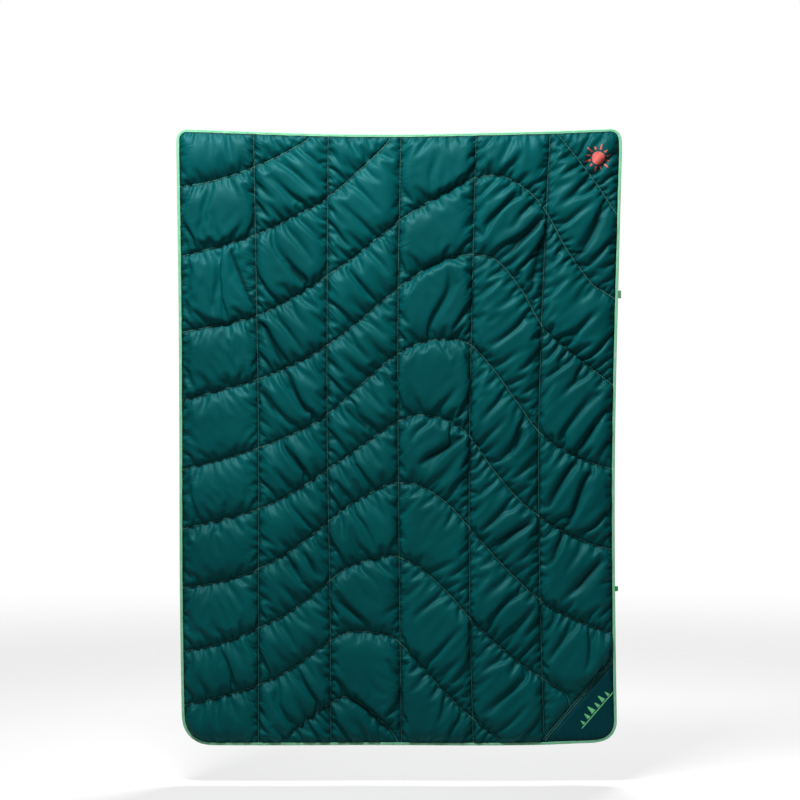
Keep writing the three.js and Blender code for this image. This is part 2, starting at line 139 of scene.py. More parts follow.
# Long creases that run on across the seams: X and Z of both ends.
DRAGS = (
    ((-365, -235), (-305, -390)), ((-305, -390), (-190, -615)), ((-245, -270), (-195, -340)),
    ((-300, -540), (-255, -610)), ((-255, -650), (-200, -745)), ((-125, -580), (-50, -650)),
    ((-255, -885), (-210, -955)), ((-205, -900), (-170, -960)), ((-140, -990), (-70, -1055)),
    ((145, -645), (45, -710)), ((270, -620), (240, -690)), ((430, -615), (310, -815)),
    ((415, -710), (320, -935)), ((295, -830), (200, -885)), ((445, -905), (370, -990)),
    ((440, -165), (370, -285)), ((310, -180), (225, -265)), ((315, -200), (280, -350)),
)

# Threads.
STITCH = 3.5
STITCH_GAP = 1.1
THREAD = 0.4  # radius


# ---- Lines of the CAD frame ----

def node_corners(name):
    """The corners of a CAD node's mesh, in millimetres."""
    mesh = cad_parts[name].data
    co = np.empty(len(mesh.vertices) * 3, np.float32)
    mesh.vertices.foreach_get("co", co)
    return co.reshape(-1, 3).astype(float) / MM


SAME_HEIGHT, SAME_CORNER = 0.05, 0.02  # closer than this counts as the same


def thread_points(name, order):
    """Centre line of a CAD thread in X and Z: its front-most corners, in order."""
    co = node_corners(name)
    front = co[co[:, 1] < co[:, 1].min() + SAME_HEIGHT][:, [0, 2]]
    _, first = np.unique(np.round(front / SAME_CORNER).astype(int), axis=0, return_index=True)
    front = front[first]
    if order == "across":
        key = front[:, 0]
    elif order == "down":
        key = -front[:, 1]
    else:
        from_middle = front - front.mean(0)
        key = np.arctan2(from_middle[:, 1], from_middle[:, 0])
    return front[np.argsort(key)]


def smooth_line(points, step):
    """A Catmull-Rom line through the points, with a point about every step."""
    p = np.asarray(points, float)
    p = np.vstack([2 * p[0] - p[1], p, 2 * p[-1] - p[-2]])
    pieces = []
    for k in range(1, len(p) - 2):
        a, b, c, d = p[k - 1:k + 3]
        count = max(1, math.ceil(np.linalg.norm(c - b) / step))
        t = (np.arange(count) / count)[:, None]
        cubic = (3 * b - a - 3 * c + d) * t**3
        pieces.append(0.5 * (2 * b + (c - a) * t + (2 * a - 5 * b + 4 * c - d) * t**2 + cubic))
    return np.vstack(pieces + [p[-2:-1]])


def unit(ways):
    """The same ways, each with a length of 1."""
    return ways / np.linalg.norm(ways, axis=1)[:, None]


def run_along(points):
    """How far along a line each of its points is."""
    return np.r_[0, np.cumsum(np.linalg.norm(np.diff(points, axis=0), axis=1))]


def even_line(points, step):
    """The same line with its points evenly spaced, and the way it runs at each."""
    run = run_along(points)
    count = max(2, round(run[-1] / step))
    middle = (np.arange(count) + 0.5) * run[-1] / count
    behind, line, ahead = [
        np.stack([np.interp(at, run, points[:, k]) for k in (0, 1)], 1)
        for at in (middle - step / 4, middle, middle + step / 4)]
    return line, unit(ahead - behind)


def loop_ways(loop):
    """The way a closed loop runs at each point."""
    return unit(np.roll(loop, -1, 0) - np.roll(loop, 1, 0))


def offset_loop(loop, out):
    """A closed loop that runs counter-clockwise, moved outwards."""
    way = loop_ways(loop)
    return loop + out * np.stack([way[:, 1], -way[:, 0]], 1)


def closed(loop):
    """The loop with its first point repeated at the end."""
    return np.vstack([loop, loop[:1]])


TOP = cad_box[1][2] / MM
BOTTOM = cad_box[0][2] / MM
UPPER_END, LOWER_END = -40, -1235  # between them both sides are straight
TOP_RADIUS = 24
BOTTOM_LEFT_RADIUS = 60
BOTTOM_RIGHT_RADIUS = 42
CORNER_EASING = 10  # rounds of smoothing where a side meets a round corner
EDGE_STEP = 3.0  # between the points of the binding's outer edge
RUN_ON = 140  # each side's line runs on past its corners by this
SIDE_STEP = 10  # between the points of a side's line
SIDE_ROW = 400  # stitches of the binding beyond this are on its sides
TOP_ROW, TOP_HALF = -60, 440  # those above the one and within the other are on the top hem
BOTTOM_ROW, BOTTOM_ENDS = -1250, (-390, 410)  # and these on the bottom hem


def side_line(keep, axis, outwards):
    """One side of the binding's outer edge, run on straight past both corners."""
    part = row_points[keep]
    part = part[np.argsort(part[:, axis])] + outwards
    first, last = part[0] - part[1], part[-1] - part[-2]
    start = part[0] + first * RUN_ON / np.linalg.norm(first)
    end = part[-1] + last * RUN_ON / np.linalg.norm(last)
    return np.vstack([start, smooth_line(part, SIDE_STEP), end])


row_points = thread_points("binding_stitch_front", "round")
row_x, row_z = row_points.T
at_sides = (row_z < UPPER_END) & (row_z > LOWER_END)
at_top = (row_z > TOP_ROW) & (np.abs(row_x) < TOP_HALF)
at_bottom = (row_z < BOTTOM_ROW) & (row_x > BOTTOM_ENDS[0]) & (row_x < BOTTOM_ENDS[1])
LEFT_EDGE = side_line((row_x < -SIDE_ROW) & at_sides, 1, (-TAPE_ROW, 0))
RIGHT_EDGE = side_line((row_x > SIDE_ROW) & at_sides, 1, (TAPE_ROW, 0))
TOP_EDGE = side_line(at_top, 0, (0, TAPE_ROW))
BOTTOM_EDGE = side_line(at_bottom, 0, (0, -TAPE_ROW))


def corner_of(upright, level):
    """Where an upright side line and a level one cross."""
    z = level[:, 1].mean()
    for _ in range(6):  # each round comes closer
        x = np.interp(z, upright[:, 1], upright[:, 0])
        z = np.interp(x, level[:, 0], level[:, 1])
    return np.array([x, z])


def rounded_loop():
    """The binding's outer edge with round corners, counter-clockwise from the front."""
    sides = [BOTTOM_EDGE, RIGHT_EDGE, TOP_EDGE[::-1], LEFT_EDGE[::-1]]
    radii = [BOTTOM_RIGHT_RADIUS, TOP_RADIUS, TOP_RADIUS, BOTTOM_LEFT_RADIUS]
    corners = [corner_of(RIGHT_EDGE, BOTTOM_EDGE), corner_of(RIGHT_EDGE, TOP_EDGE),
               corner_of(LEFT_EDGE, TOP_EDGE), corner_of(LEFT_EDGE, BOTTOM_EDGE)]
    pieces = []
    for k, (side, corner, radius) in enumerate(zip(sides, corners, radii)):
        axis = k % 2
        before, radius_before = corners[k - 1], radii[k - 1]
        sign = 1 if corner[axis] > before[axis] else -1
        start, end = before[axis] + sign * radius_before, corner[axis] - sign * radius
        at = np.arange(start, end, sign * EDGE_STEP)
        order = np.argsort(side[:, axis])
        other = np.interp(at, side[order, axis], side[order, 1 - axis])
        pieces.append(np.stack([at, other] if axis == 0 else [other, at], 1))
        after = corners[(k + 1) % 4]
        come = (corner - before) / np.linalg.norm(corner - before)
        leave = (after - corner) / np.linalg.norm(after - corner)
        middle = corner + radius * (leave - come)
        turn = np.linspace(0, math.pi / 2, max(8, round(radius / 2)))[:, None]
        pieces.append(middle - radius * leave * np.cos(turn) + radius * come * np.sin(turn))
    line, _ = even_line(closed(np.vstack(pieces)), EDGE_STEP)
    for _ in range(CORNER_EASING):
        line = 0.5 * line + 0.25 * (np.roll(line, 1, 0) + np.roll(line, -1, 0))
    return line


OUTER_LOOP = rounded_loop()
ROW_LOOP = offset_loop(OUTER_LOOP, -TAPE_ROW)
SHELL_LOOP = offset_loop(OUTER_LOOP, -SHELL_EDGE)

# Where a seam runs on past its CAD thread, to the hem or to another seam.
SEAM_ENDS = {
    "wave_seam_01": (None, (-196, TOP - 5)),
    "wave_seam_02": (None, (-19, TOP - 8)),
    "wave_seam_03": ((338, TOP - 8), None),
    "wave_seam_09": (None, (369, -1233)),
    "wave_seam_10": (None, (207, BOTTOM + 6)),
    "wave_seam_11": ((-258, BOTTOM + 5), (-2, BOTTOM + 8)),
}
NEAR_LEFT, NEAR_RIGHT = -440, 430  # a wave that ends beyond these reaches the binding
TO_BINDING = 9
TO_TOP, TO_BOTTOM = 4, 5  # from the end of an upright seam to the binding's outer edge
NEAR_BOTTOM = 18  # an upright seam that ends this near the edge reaches it


def upright_line(name):
    """An upright seam from the top hem down, to the bottom hem if its thread comes near."""
    points = thread_points(name, "down")
    parts = [[[points[0, 0], TOP - TO_TOP]], points]
    if points[-1, 1] < BOTTOM + NEAR_BOTTOM:
        parts.append([[points[-1, 0], BOTTOM + TO_BOTTOM]])
    return smooth_line(np.vstack(parts), LINE_STEP)


def run_on(points, by):
    """The place straight on past the last of the points."""
    way = points[-1] - points[-2]
    return points[-1] + way / np.linalg.norm(way) * by


def wave_line(name):
    """A wave from left to right, run on to where it meets a hem or the binding."""
    points = thread_points(name, "across")
    start, end = SEAM_ENDS.get(name, (None, None))
    if start is None and points[0, 0] < NEAR_LEFT:
        start = run_on(points[::-1], TO_BINDING)
    if end is None and points[-1, 0] > NEAR_RIGHT:
        end = run_on(points, TO_BINDING)
    parts = [points] if start is None else [[start], points]
    if end is not None:
        parts.append([end])
    return smooth_line(np.vstack(parts), LINE_STEP)


def nodes_named(start):
    """The CAD nodes whose names start like this, in order."""
    return sorted(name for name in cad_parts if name.startswith(start))


UPRIGHT_NAMES = nodes_named("upright_seam")
WAVE_NAMES = nodes_named("wave_seam")
PATCH_NAMES = nodes_named("patch_stitch")
UPRIGHTS = [upright_line(name) for name in UPRIGHT_NAMES]
WAVES = [wave_line(name) for name in WAVE_NAMES]

# The patch's slanted edge: its stitch rows run on to the binding at both ends.
PATCH_HEM = 2.2  # from the first row to the patch's own edge
PATCH_RUN_ON = (16, 14)
PATCH_ROWS = []
for patch_name in PATCH_NAMES:
    low_end, high_end = thread_points(patch_name, "across")[[0, -1]]
    slant = (high_end - low_end) / np.linalg.norm(high_end - low_end)
    row_start, row_end = low_end - PATCH_RUN_ON[0] * slant, high_end + PATCH_RUN_ON[1] * slant
    PATCH_ROWS.append(np.array([row_start, row_end]))
SLANT_IN = np.array([slant[1], -slant[0]])  # towards the corner
PATCH_EDGE = PATCH_ROWS[0] - PATCH_HEM * SLANT_IN
PATCH_SEAMS = [smooth_line(line, LINE_STEP) for line in (PATCH_EDGE, PATCH_ROWS[1])]


def inside_patch(x, z):
    """How far a place lies inside the patch's slanted edge, towards the corner."""
    return (x - PATCH_EDGE[0, 0]) * SLANT_IN[0] + (z - PATCH_EDGE[0, 1]) * SLANT_IN[1]


# ---- The flat grid ----

LEFT_CUT = LEFT_EDGE + (SHELL_EDGE, 0)
RIGHT_CUT = RIGHT_EDGE - (SHELL_EDGE, 0)
TOP_CUT = TOP_EDGE - (0, SHELL_EDGE)
BOTTOM_CUT = BOTTOM_EDGE + (0, SHELL_EDGE)
COLUMN_LINES = [LEFT_CUT] + [line[::-1] for line in UPRIGHTS] + [RIGHT_CUT]


def columns_at(z):
    """X of both cut sides and of the upright seams at each height."""
    return np.stack([np.interp(z, line[:, 1], line[:, 0]) for line in COLUMN_LINES])


def hems_at(x):
    """Z of the cut top and bottom at each X."""
    top = np.interp(x, TOP_CUT[:, 0], TOP_CUT[:, 1])
    return top, np.interp(x, BOTTOM_CUT[:, 0], BOTTOM_CUT[:, 1])


def beside_columns(at, k):
    """X of the lines to the left and to the right of column k at each place."""
    return [np.take_along_axis(at, k[None] + n, 0)[0] for n in (0, 1)]


def flat_grid():
    """X and Z of every grid point before the seams: columns by rows."""
    across = np.arange(COLUMNS * CELLS + 1) / CELLS
    down = np.arange(ROWS + 1) / ROWS
    u, v = np.meshgrid(across, down, indexing="ij")
    k = np.minimum(u.astype(int), COLUMNS - 1)
    z = TOP + (BOTTOM - TOP) * v
    for _ in range(3):  # each place depends on both lines through it
        left, right = beside_columns(columns_at(z), k)
        x = left + (right - left) * (u - k)
        top, bottom = hems_at(x)
        z = top + (bottom - top) * v
    return x, z


def grid_place(x, z):
    """Where a flat place lies on the full grid, in cells across and down."""
    at = columns_at(z)
    k = np.clip((at[1:-1] <= x).sum(0), 0, COLUMNS - 1)
    left, right = beside_columns(at, k)
    top, bottom = hems_at(x)
    return (k + (x - left) / (right - left)) * CELLS, (top - z) / (top - bottom) * ROWS


def nearest_on(line, points, reach):
    """For each point within reach of the line's box: its distance, the way the line runs,
    the foot on the line and how far along it that is."""
    distance = np.full(len(points), np.inf)
    way = np.zeros_like(points)
    foot = points.copy()
    run = np.zeros(len(points))
    near = (points > line.min(0) - reach) & (points < line.max(0) + reach)
    found = np.nonzero(near.all(1))[0]
    start, span = line[:-1], np.diff(line, axis=0)
    square = (span**2).sum(1)
    length = np.sqrt(square)
    passed = np.r_[0, np.cumsum(length)[:-1]]
    for first in range(0, len(found), NEAREST_BLOCK):
        k = found[first:first + NEAREST_BLOCK]
        rx = points[k, 0][:, None] - start[:, 0]
        rz = points[k, 1][:, None] - start[:, 1]
        t = np.clip((rx * span[:, 0] + rz * span[:, 1]) / square, 0, 1)
        dx = t * span[:, 0] - rx
        dz = t * span[:, 1] - rz
        gap = dx * dx + dz * dz
        best = gap.argmin(1)
        row = np.arange(len(k))
        distance[k] = np.sqrt(gap[row, best])
        way[k] = span[best] / length[best][:, None]
        foot[k] = points[k] + np.stack([dx[row, best], dz[row, best]], 1)
        run[k] = passed[best] + t[row, best] * length[best]
    return distance, way, foot, run


def as_points(x, z):
    """One list of places from the X and Z of a grid."""
    return np.stack([x.ravel(), z.ravel()], 1)


def seam_field(x, z, cell, with_patch):
    """Distance to the nearest seam and its direction, and the points moved onto seams."""
    points = as_points(x, z)
    distance = np.full(len(points), np.inf)
    way = np.zeros_like(points)
    placed = points.copy()
    sewn = np.zeros(len(points), bool)
    seams = UPRIGHTS + WAVES
    if with_patch:
        seams = PATCH_SEAMS + seams
    for line in seams:
        d, t, foot, _ = nearest_on(line, points, 4 * PUCKER_REACH)
        nearer = d < distance
        distance[nearer] = d[nearer]
        way[nearer] = t[nearer]
        moved = (d < 0.5 * cell) & ~sewn
        placed[moved] = foot[moved]
        sewn |= moved
    pair = x.shape + (2,)
    return distance.reshape(x.shape), way.reshape(pair), placed.reshape(pair), sewn.reshape(x.shape)


def beside_seams(x, z, seams, slope):
    """How far along and off the nearest of these seams each point is, and which seam it is.
    How far along is measured down the slope of the fine creases. Midway between two seams
    the creases of both have faded away."""
    points = as_points(x, z)
    beside = np.tile((0.0, 2 * FINE_REACH, 0.0), (len(points), 1))
    second = np.full(len(points), 4 * FINE_REACH)
    for k, line in enumerate(seams):
        d, _, foot, run = nearest_on(line, points, FINE_REACH)
        run = run + (points[:, 0] - foot[:, 0]) * slope
        nearer = d < beside[:, 1]
        second = np.where(nearer, beside[:, 1], np.minimum(second, d))
        beside[nearer] = np.stack([run, d, np.full(len(d), k)], 1)[nearer]
    midway = np.clip(1 - (second - beside[:, 1] - 2 * PITCH) / MIDWAY, 0, 1)
    beside[:, 1] += np.maximum(FINE_REACH - beside[:, 1], 0) * midway
    return beside


DEEP_INSIDE = 100.0  # stands for the depth of the points that are not near the edge
EDGE_ZONE = (400, -60, -1230)  # the edge is only near beyond this X, above and below these Z
EDGE_REACH = 200


def edge_field(x, z):
    """How far each point lies inside the shells' cut edge, its foot there, and the way the
    edge runs."""
    points = as_points(x, z)
    inside = np.full(len(points), DEEP_INSIDE)
    foot = points.copy()
    runs = np.zeros_like(points)
    beyond, above, below = EDGE_ZONE
    near = (np.abs(points[:, 0]) > beyond) | (points[:, 1] > above) | (points[:, 1] < below)
    k = np.nonzero(near)[0]
    d, way, at, _ = nearest_on(closed(SHELL_LOOP), points[k], EDGE_REACH)
    side = way[:, 0] * (points[k, 1] - at[:, 1]) - way[:, 1] * (points[k, 0] - at[:, 0])
    inside[k] = np.where(side > 0, d, -d)
    foot[k] = at
    runs[k] = way
    return inside.reshape(x.shape), foot.reshape(*x.shape, 2), runs.reshape(*x.shape, 2)


def drag_field(x, z):
    """How strongly a long crease is felt at each point, and its direction."""
    points = as_points(x, z)
    depth = np.zeros(len(points))
    way = np.zeros_like(points)
    for ends in DRAGS:
        line = np.array(ends, float)
        d, t, _, run = nearest_on(line, points, 4 * DRAG_WIDTH)
        length = np.linalg.norm(line[1] - line[0])
        fade = np.clip(np.minimum(run, length - run) / DRAG_FADE, 0, 1)**0.5
        felt = np.exp(-(d / DRAG_WIDTH)**2) * fade
        stronger = felt > depth
        depth[stronger] = felt[stronger]
        way[stronger] = t[stronger]
    return depth.reshape(x.shape), way.reshape(*x.shape, 2)


# ---- Seeded unevenness ----

def cubic_weights(f):
    """Shares of four neighbouring values at the place f between the middle two."""
    return np.stack([
        ((-f + 2) * f - 1) * f / 2,
        ((3 * f - 5) * f * f + 2) / 2,
        ((-3 * f + 4) * f + 1) * f / 2,
        (f - 1) * f * f / 2,
    ])


def unevenness(shape, cell, rng):
    """Smooth random values on a grid, about one bump for each cell of that many points."""
    count = [int(n / c) + 5 for n, c in zip(shape, cell)]
    out = rng.standard_normal(count)
    for axis, (n, c) in enumerate(zip(shape, cell)):
        t = np.arange(n) / c + 1
        i = t.astype(int)
        w = cubic_weights(t - i)
        along = (-1, 1) if axis == 0 else (1, -1)
        out = sum(w[k].reshape(along) * np.take(out, i - 1 + k, axis) for k in range(4))
    return out


# ---- The hanging quilt: cloth with surplus between sewn-down seams ----

DRAPE = 3.6  # how far the whole blanket waves off its mid plane
DRAPE_HALF = 478.0  # from the middle to where it is still
DRAPE_RUN = 300  # from the top hem to where it waves in full
DRAPE_AT_TOP = 0.25
UPRIGHT_WAVE, UPRIGHT_SHARE = 430, 0.7  # length from wave to wave, and share of the depth
CROSS_WAVE, CROSS_SHARE = 830, 0.3
UPRIGHT_ASLANT, CROSS_ASLANT = 5200, 1500  # over this length they shift by one wave
WAVE_START = 0.12  # share of a wave


def drape(x, z):
    """The blanket's gentle waves off its flat plane, still at both sides and the top hem."""
    still = np.clip(1 - (np.abs(x) / DRAPE_HALF)**4, 0, 1)
    from_top = np.clip((TOP - z) / DRAPE_RUN, 0, 1)
    upright = np.sin(2 * math.pi * (x / UPRIGHT_WAVE + WAVE_START - z / UPRIGHT_ASLANT))
    cross = np.sin(2 * math.pi * (z / CROSS_WAVE + x / CROSS_ASLANT))
    depth = DRAPE * still * (DRAPE_AT_TOP + (1 - DRAPE_AT_TOP) * from_top)
    return depth * (UPRIGHT_SHARE * upright + CROSS_SHARE * cross)


def by_column(values, count):
    """Each column's value at its middle, eased in between, for that many grid points across."""
    middles = (np.arange(COLUMNS) + 0.5) * CELLS
    return np.interp(np.arange(count), middles, values)


def uneven_share(shape, bump, limits, rng):
    """How much of a surplus there is at each grid point."""
    always, varying, least, most = limits
    return np.clip(always + varying * unevenness(shape, bump, rng), least, most)


def surplus_field(x, z, distance, way, rng, face):
    """Cloth surplus as a tensor over the plane (XX, XZ, ZZ) at every grid point."""
    shape = x.shape
    lean = by_column(COLUMN_LEAN, shape[0])[:, None]
    lean = np.radians(lean + LEAN_WANDER * unevenness(shape, LEAN_BUMP, rng))
    across_x, across_z = -np.sin(lean), np.cos(lean)
    folds = by_column(COLUMN_FOLDS, shape[0])[:, None]
    folds = folds * uneven_share(shape, FOLD_BUMP, FOLD_RANGE, rng)
    pucker = PUCKER_SURPLUS * np.exp(-(distance / PUCKER_REACH)**2)
    pucker = pucker * uneven_share(shape, PUCKER_BUMP, PUCKER_RANGE, rng)
    even = np.full(shape, EVEN_SURPLUS)
    drag, drag_way = np.zeros(shape), np.zeros(shape + (2,))
    if face == FRONT:
        drag, drag_way = drag_field(x, z)
        patched = inside_patch(x, z) > 0
        folds = np.where(patched, PATCH_FOLDS, folds)
        pucker = np.where(patched, PATCH_PUCKERS, pucker)
        even = np.where(patched, PATCH_EVEN, even)
    drag = DRAG_SURPLUS * drag**DRAG_SPREAD
    along_x, along_z = way[..., 0], way[..., 1]
    drag_x, drag_z = drag_way[..., 1], -drag_way[..., 0]
    return np.stack([
        even + folds * across_x**2 + pucker * along_x**2 + drag * drag_x**2,
        folds * across_x * across_z + pucker * along_x * along_z + drag * drag_x * drag_z,
        even + folds * across_z**2 + pucker * along_z**2 + drag * drag_z**2,
    ])


def link_ends(by):
    """Along one axis of the grid, the slices of both ends of links that go that far."""
    if by < 0:
        return link_ends(-by)[::-1]
    return slice(0, -by or None), slice(by, None)


def cloth_links(flat, surplus):
    """Rest length and stiffness of the links to each point's neighbours."""
    links = []
    for right, down in ((1, 0), (0, 1), (1, 1), (1, -1)):
        a, b = zip(link_ends(right), link_ends(down))
        ex = flat[b + (0,)] - flat[a + (0,)]
        ez = flat[b + (1,)] - flat[a + (1,)]
        length = np.maximum(np.hypot(ex, ez), 1e-3)
        ux, uz = ex / length, ez / length
        m = 0.5 * (surplus[(slice(None),) + a] + surplus[(slice(None),) + b])
        extra = m[0] * ux * ux + 2 * m[1] * ux * uz + m[2] * uz * uz
        stiffness = SLANT_STIFFNESS if right and down else 1.0
        links.append((a, b, (length * (1 + extra)).astype(np.float32), np.float32(stiffness)))
    return links


def add_link_pulls(place, links, pull):
    """Each link pulls its ends together when stretched, and less firmly apart when squeezed."""
    for a, b, rest, stiffness in links:
        first, second = (slice(None),) + a, (slice(None),) + b
        span = place[second] - place[first]
        length = np.sqrt(np.einsum("kij,kij->ij", span, span))
        share = stiffness * (1 - rest / np.maximum(length, SHORTEST))
        share = np.where(share < 0, share * np.float32(SOFT_SQUEEZE), share)
        span *= np.clip(share, *STRAIN_LIMITS)
        pull[first] += span
        pull[second] -= span


def add_bending(height, stiffness, pull):
    """The cloth's own stiffness, which evens out its height along both ways of the grid."""
    for h, p in ((height, pull), (height.T, pull.T)):
        bend = h[2:] - 2 * h[1:-1] + h[:-2]
        bend *= stiffness
        p[1:-1] += 2 * bend
        p[2:] -= bend
        p[:-2] -= bend


def add_push(place, amount, pull):
    """The batting's push, at right angles to the cloth."""
    right = place[:, 2:, 1:-1] - place[:, :-2, 1:-1]
    down = place[:, 1:-1, 2:] - place[:, 1:-1, :-2]
    for k in range(3):
        i, j = (k + 1) % 3, (k + 2) % 3
        pull[k, 1:-1, 1:-1] += amount * (right[i] * down[j] - right[j] * down[i])


def settle(place, free, links, layers, bend, cell, rounds):
    """Lets the cloth move to rest on its batting."""
    lowest, loft, highest = layers
    speed = np.zeros_like(place)
    pull = np.zeros_like(place)
    spring = np.float32(LOFT_SPRING / 4)  # add_push spans two cells each way
    sag = np.float32(SAG * cell * cell)
    stiffness = np.float32(bend / cell**2)
    for turn in range(rounds):
        pull[:] = 0
        add_link_pulls(place, links, pull)
        add_bending(place[1], stiffness, pull[1])
        push = spring * np.maximum(loft - place[1], 0)
        add_push(place, push[1:-1, 1:-1], pull)
        pull[2] -= sag
        pull[1] += FIRM * np.maximum(lowest - place[1], 0)
        pull[1] -= FIRM * np.maximum(place[1] - highest, 0)
        keep = np.float32(EARLY_KEEP if turn < EARLY * rounds else LATE_KEEP)
        speed = (speed + pull * TIME_STEP) * keep * free
        place += speed
    return place


def every(step):
    """Picks one grid point in so many, both ways."""
    return (slice(None, None, step), slice(None, None, step))


def twice_as_fine(field):
    """The grid with a point halfway between every two, on a smooth curve through them."""
    for axis in (1, 2):
        a = np.moveaxis(field, axis, 1)
        e = np.pad(a, [(0, 0), (1, 1), (0, 0)], mode="edge")
        out = np.empty((a.shape[0], 2 * a.shape[1] - 1, a.shape[2]), a.dtype)
        out[:, ::2] = a
        out[:, 1::2] = (9 * (e[:, 1:-2] + e[:, 2:-1]) - (e[:, :-3] + e[:, 3:])) / 16
        field = np.moveaxis(out, 1, axis)
    return field


LABEL_LEAN = math.radians(21.5)
LABEL_LOW, LABEL_HIGH = (Vector(c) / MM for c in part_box("care_label"))
LABEL_ROOT = 0.6  # radius of its rolled root
LABEL_REACH = 24.0
LABEL_AXIS = (LABEL_LOW.x + LABEL_ROOT, LABEL_LOW.y + LABEL_ROOT)
LABEL_GAP = 1.6  # from its axis to the cloth under it
LABEL_ZONE, LABEL_EASE = 26, 22  # the cloth stays low this far from it, then rises over this


def pillow_roof(x, z, face):
    """The most that the cloth may rise at each place: less in the long creases, under the
    patch and under the label."""
    if face == FRONT:
        roof = ROOF * (1 - DRAG_DEPTH * drag_field(x, z)[0])
        return np.where(inside_patch(x, z) > 0, PATCH_ROOF, roof)
    label_z = (LABEL_LOW.z + LABEL_HIGH.z) / 2
    beside = np.clip((np.abs(z - label_z) - LABEL_ZONE) / LABEL_EASE, 0, 1)
    along = x - LABEL_AXIS[0]
    under = LABEL_AXIS[1] - LABEL_GAP + np.maximum(along, 0) * math.tan(LABEL_LEAN)
    past = np.clip((along - LABEL_ZONE) / LABEL_EASE, 0, 1)
    return np.minimum(ROOF, under + (ROOF - under) * np.maximum(beside, past))


def sewn_places(x, z, cell, face):
    """How far each grid point is from a seam or the binding, its flat place, moved onto a
    seam or the tape's inner edge if that is near, and whether it is sewn down."""
    gap, _, flat, sewn = seam_field(x, z, cell, face == FRONT)
    inside, foot, way = edge_field(x, z)
    gap = np.minimum(gap, np.maximum(inside - TAPE_OVER, 0))
    flat = np.where((inside < 0)[..., None], foot, flat)
    at_tape = (np.abs(inside - TAPE_OVER) < 0.5 * cell) & (inside > 0.5)
    tape_line = foot + TAPE_OVER * np.stack([-way[..., 1], way[..., 0]], -1)
    flat = np.where(at_tape[..., None], tape_line, flat)
    return gap, flat, sewn | (inside < TAPE_OVER) | at_tape


def batting_layers(x, z, gap, face):
    """The lowest that the cloth may lie, how high the batting would lift it, and the roof."""
    core = CORE * np.minimum(1, gap / CORE_RUN)
    if face == FRONT:
        core = np.where(inside_patch(x, z) > 0, PATCH_CORE, core)
    loft = SEAM_HEIGHT + LOFT * (1 - np.exp(-gap / LOFT_RUN))
    layers = (SEAM_HEIGHT + core, loft, pillow_roof(x, z, face))
    return [layer.astype(np.float32) for layer in layers]


ROOF_EASE = 2  # the settled cloth may stand this much above the roof


def hang_quilt(face, seed):
    """One shell's cloth at rest: its place and its flat place at every grid point."""
    rng = np.random.default_rng(seed)
    x, z = flat_grid()
    distance, way, _, _ = seam_field(x, z, PITCH, face == FRONT)
    inside, _, edge_way = edge_field(x, z)
    from_tape = np.maximum(inside - TAPE_OVER, 0)
    way = np.where((from_tape < distance)[..., None], edge_way, way)
    distance = np.minimum(distance, from_tape)
    surplus = surplus_field(x, z, distance, way, rng, face)
    moved = None
    for step, rounds, bend, wobble in LEVELS:
        part = every(step)
        cell = PITCH * step
        gap, flat, sewn = sewn_places(x[part], z[part], cell, face)
        rest = np.stack([flat[..., 0], np.full(gap.shape, SEAM_HEIGHT), flat[..., 1]])
        place = rest.astype(np.float32)
        if moved is None:
            place[1] += FIRST_RISE * (1 - np.exp(-gap / FIRST_RUN))
        else:
            place += twice_as_fine(moved)
        away = 1 - np.exp(-gap / (CALM * cell))
        place[1] += wobble * unevenness(gap.shape, WOBBLE_BUMP, rng) * away
        free = (~sewn).astype(np.float32)
        place = (rest + (place - rest) * free).astype(np.float32)
        layers = batting_layers(x[part], z[part], gap, face)
        links = cloth_links(flat, surplus[(slice(None),) + part])
        place = settle(place, free, links, layers, bend, cell, rounds)
        moved = place - rest.astype(np.float32)
    while place.shape[1] < x.shape[0]:
        place = twice_as_fine(place)
        flat = np.moveaxis(twice_as_fine(np.moveaxis(flat, 2, 0)), 0, 2)
        sewn = np.repeat(np.repeat(sewn, 2, 0), 2, 1)[:-1, :-1]
    place = place.astype(float)
    place[1] = SEAM_HEIGHT + np.abs(place[1] - SEAM_HEIGHT)  # no pucker dips into the batting
    place[1] = np.minimum(place[1], pillow_roof(x, z, face) + ROOF_EASE)
    return {"face": face, "place": place, "flat": flat, "sewn": sewn,
            "inside": inside, "gap": distance, "x": x, "z": z}


def standing(quilt):
    """X, Y and Z of the quilt's grid points, with the drape."""
    across, height, up = quilt["place"]
    return np.stack([across, quilt["face"] * height + drape(across, up), up], -1)


def on_cloth(quilt, x, z, lift):
    """Places on the quilt's outer face above flat places, lifted off the cloth."""
    points = standing(quilt)
    u, v = grid_place(x, z)
    i = np.clip(u.astype(int), 1, points.shape[0] - 3)
    j = np.clip(v.astype(int), 1, points.shape[1] - 3)
    f, g = (u - i)[:, None], (v - j)[:, None]
    a, b = points[i, j], points[i + 1, j]
    c, d = points[i, j + 1], points[i + 1, j + 1]
    at = a * (1 - f) * (1 - g) + b * f * (1 - g) + c * (1 - f) * g + d * f * g
    return at + unit(np.cross(b + d - a - c, c + d - a - b) * quilt["face"]) * lift


# ---- Meshes ----

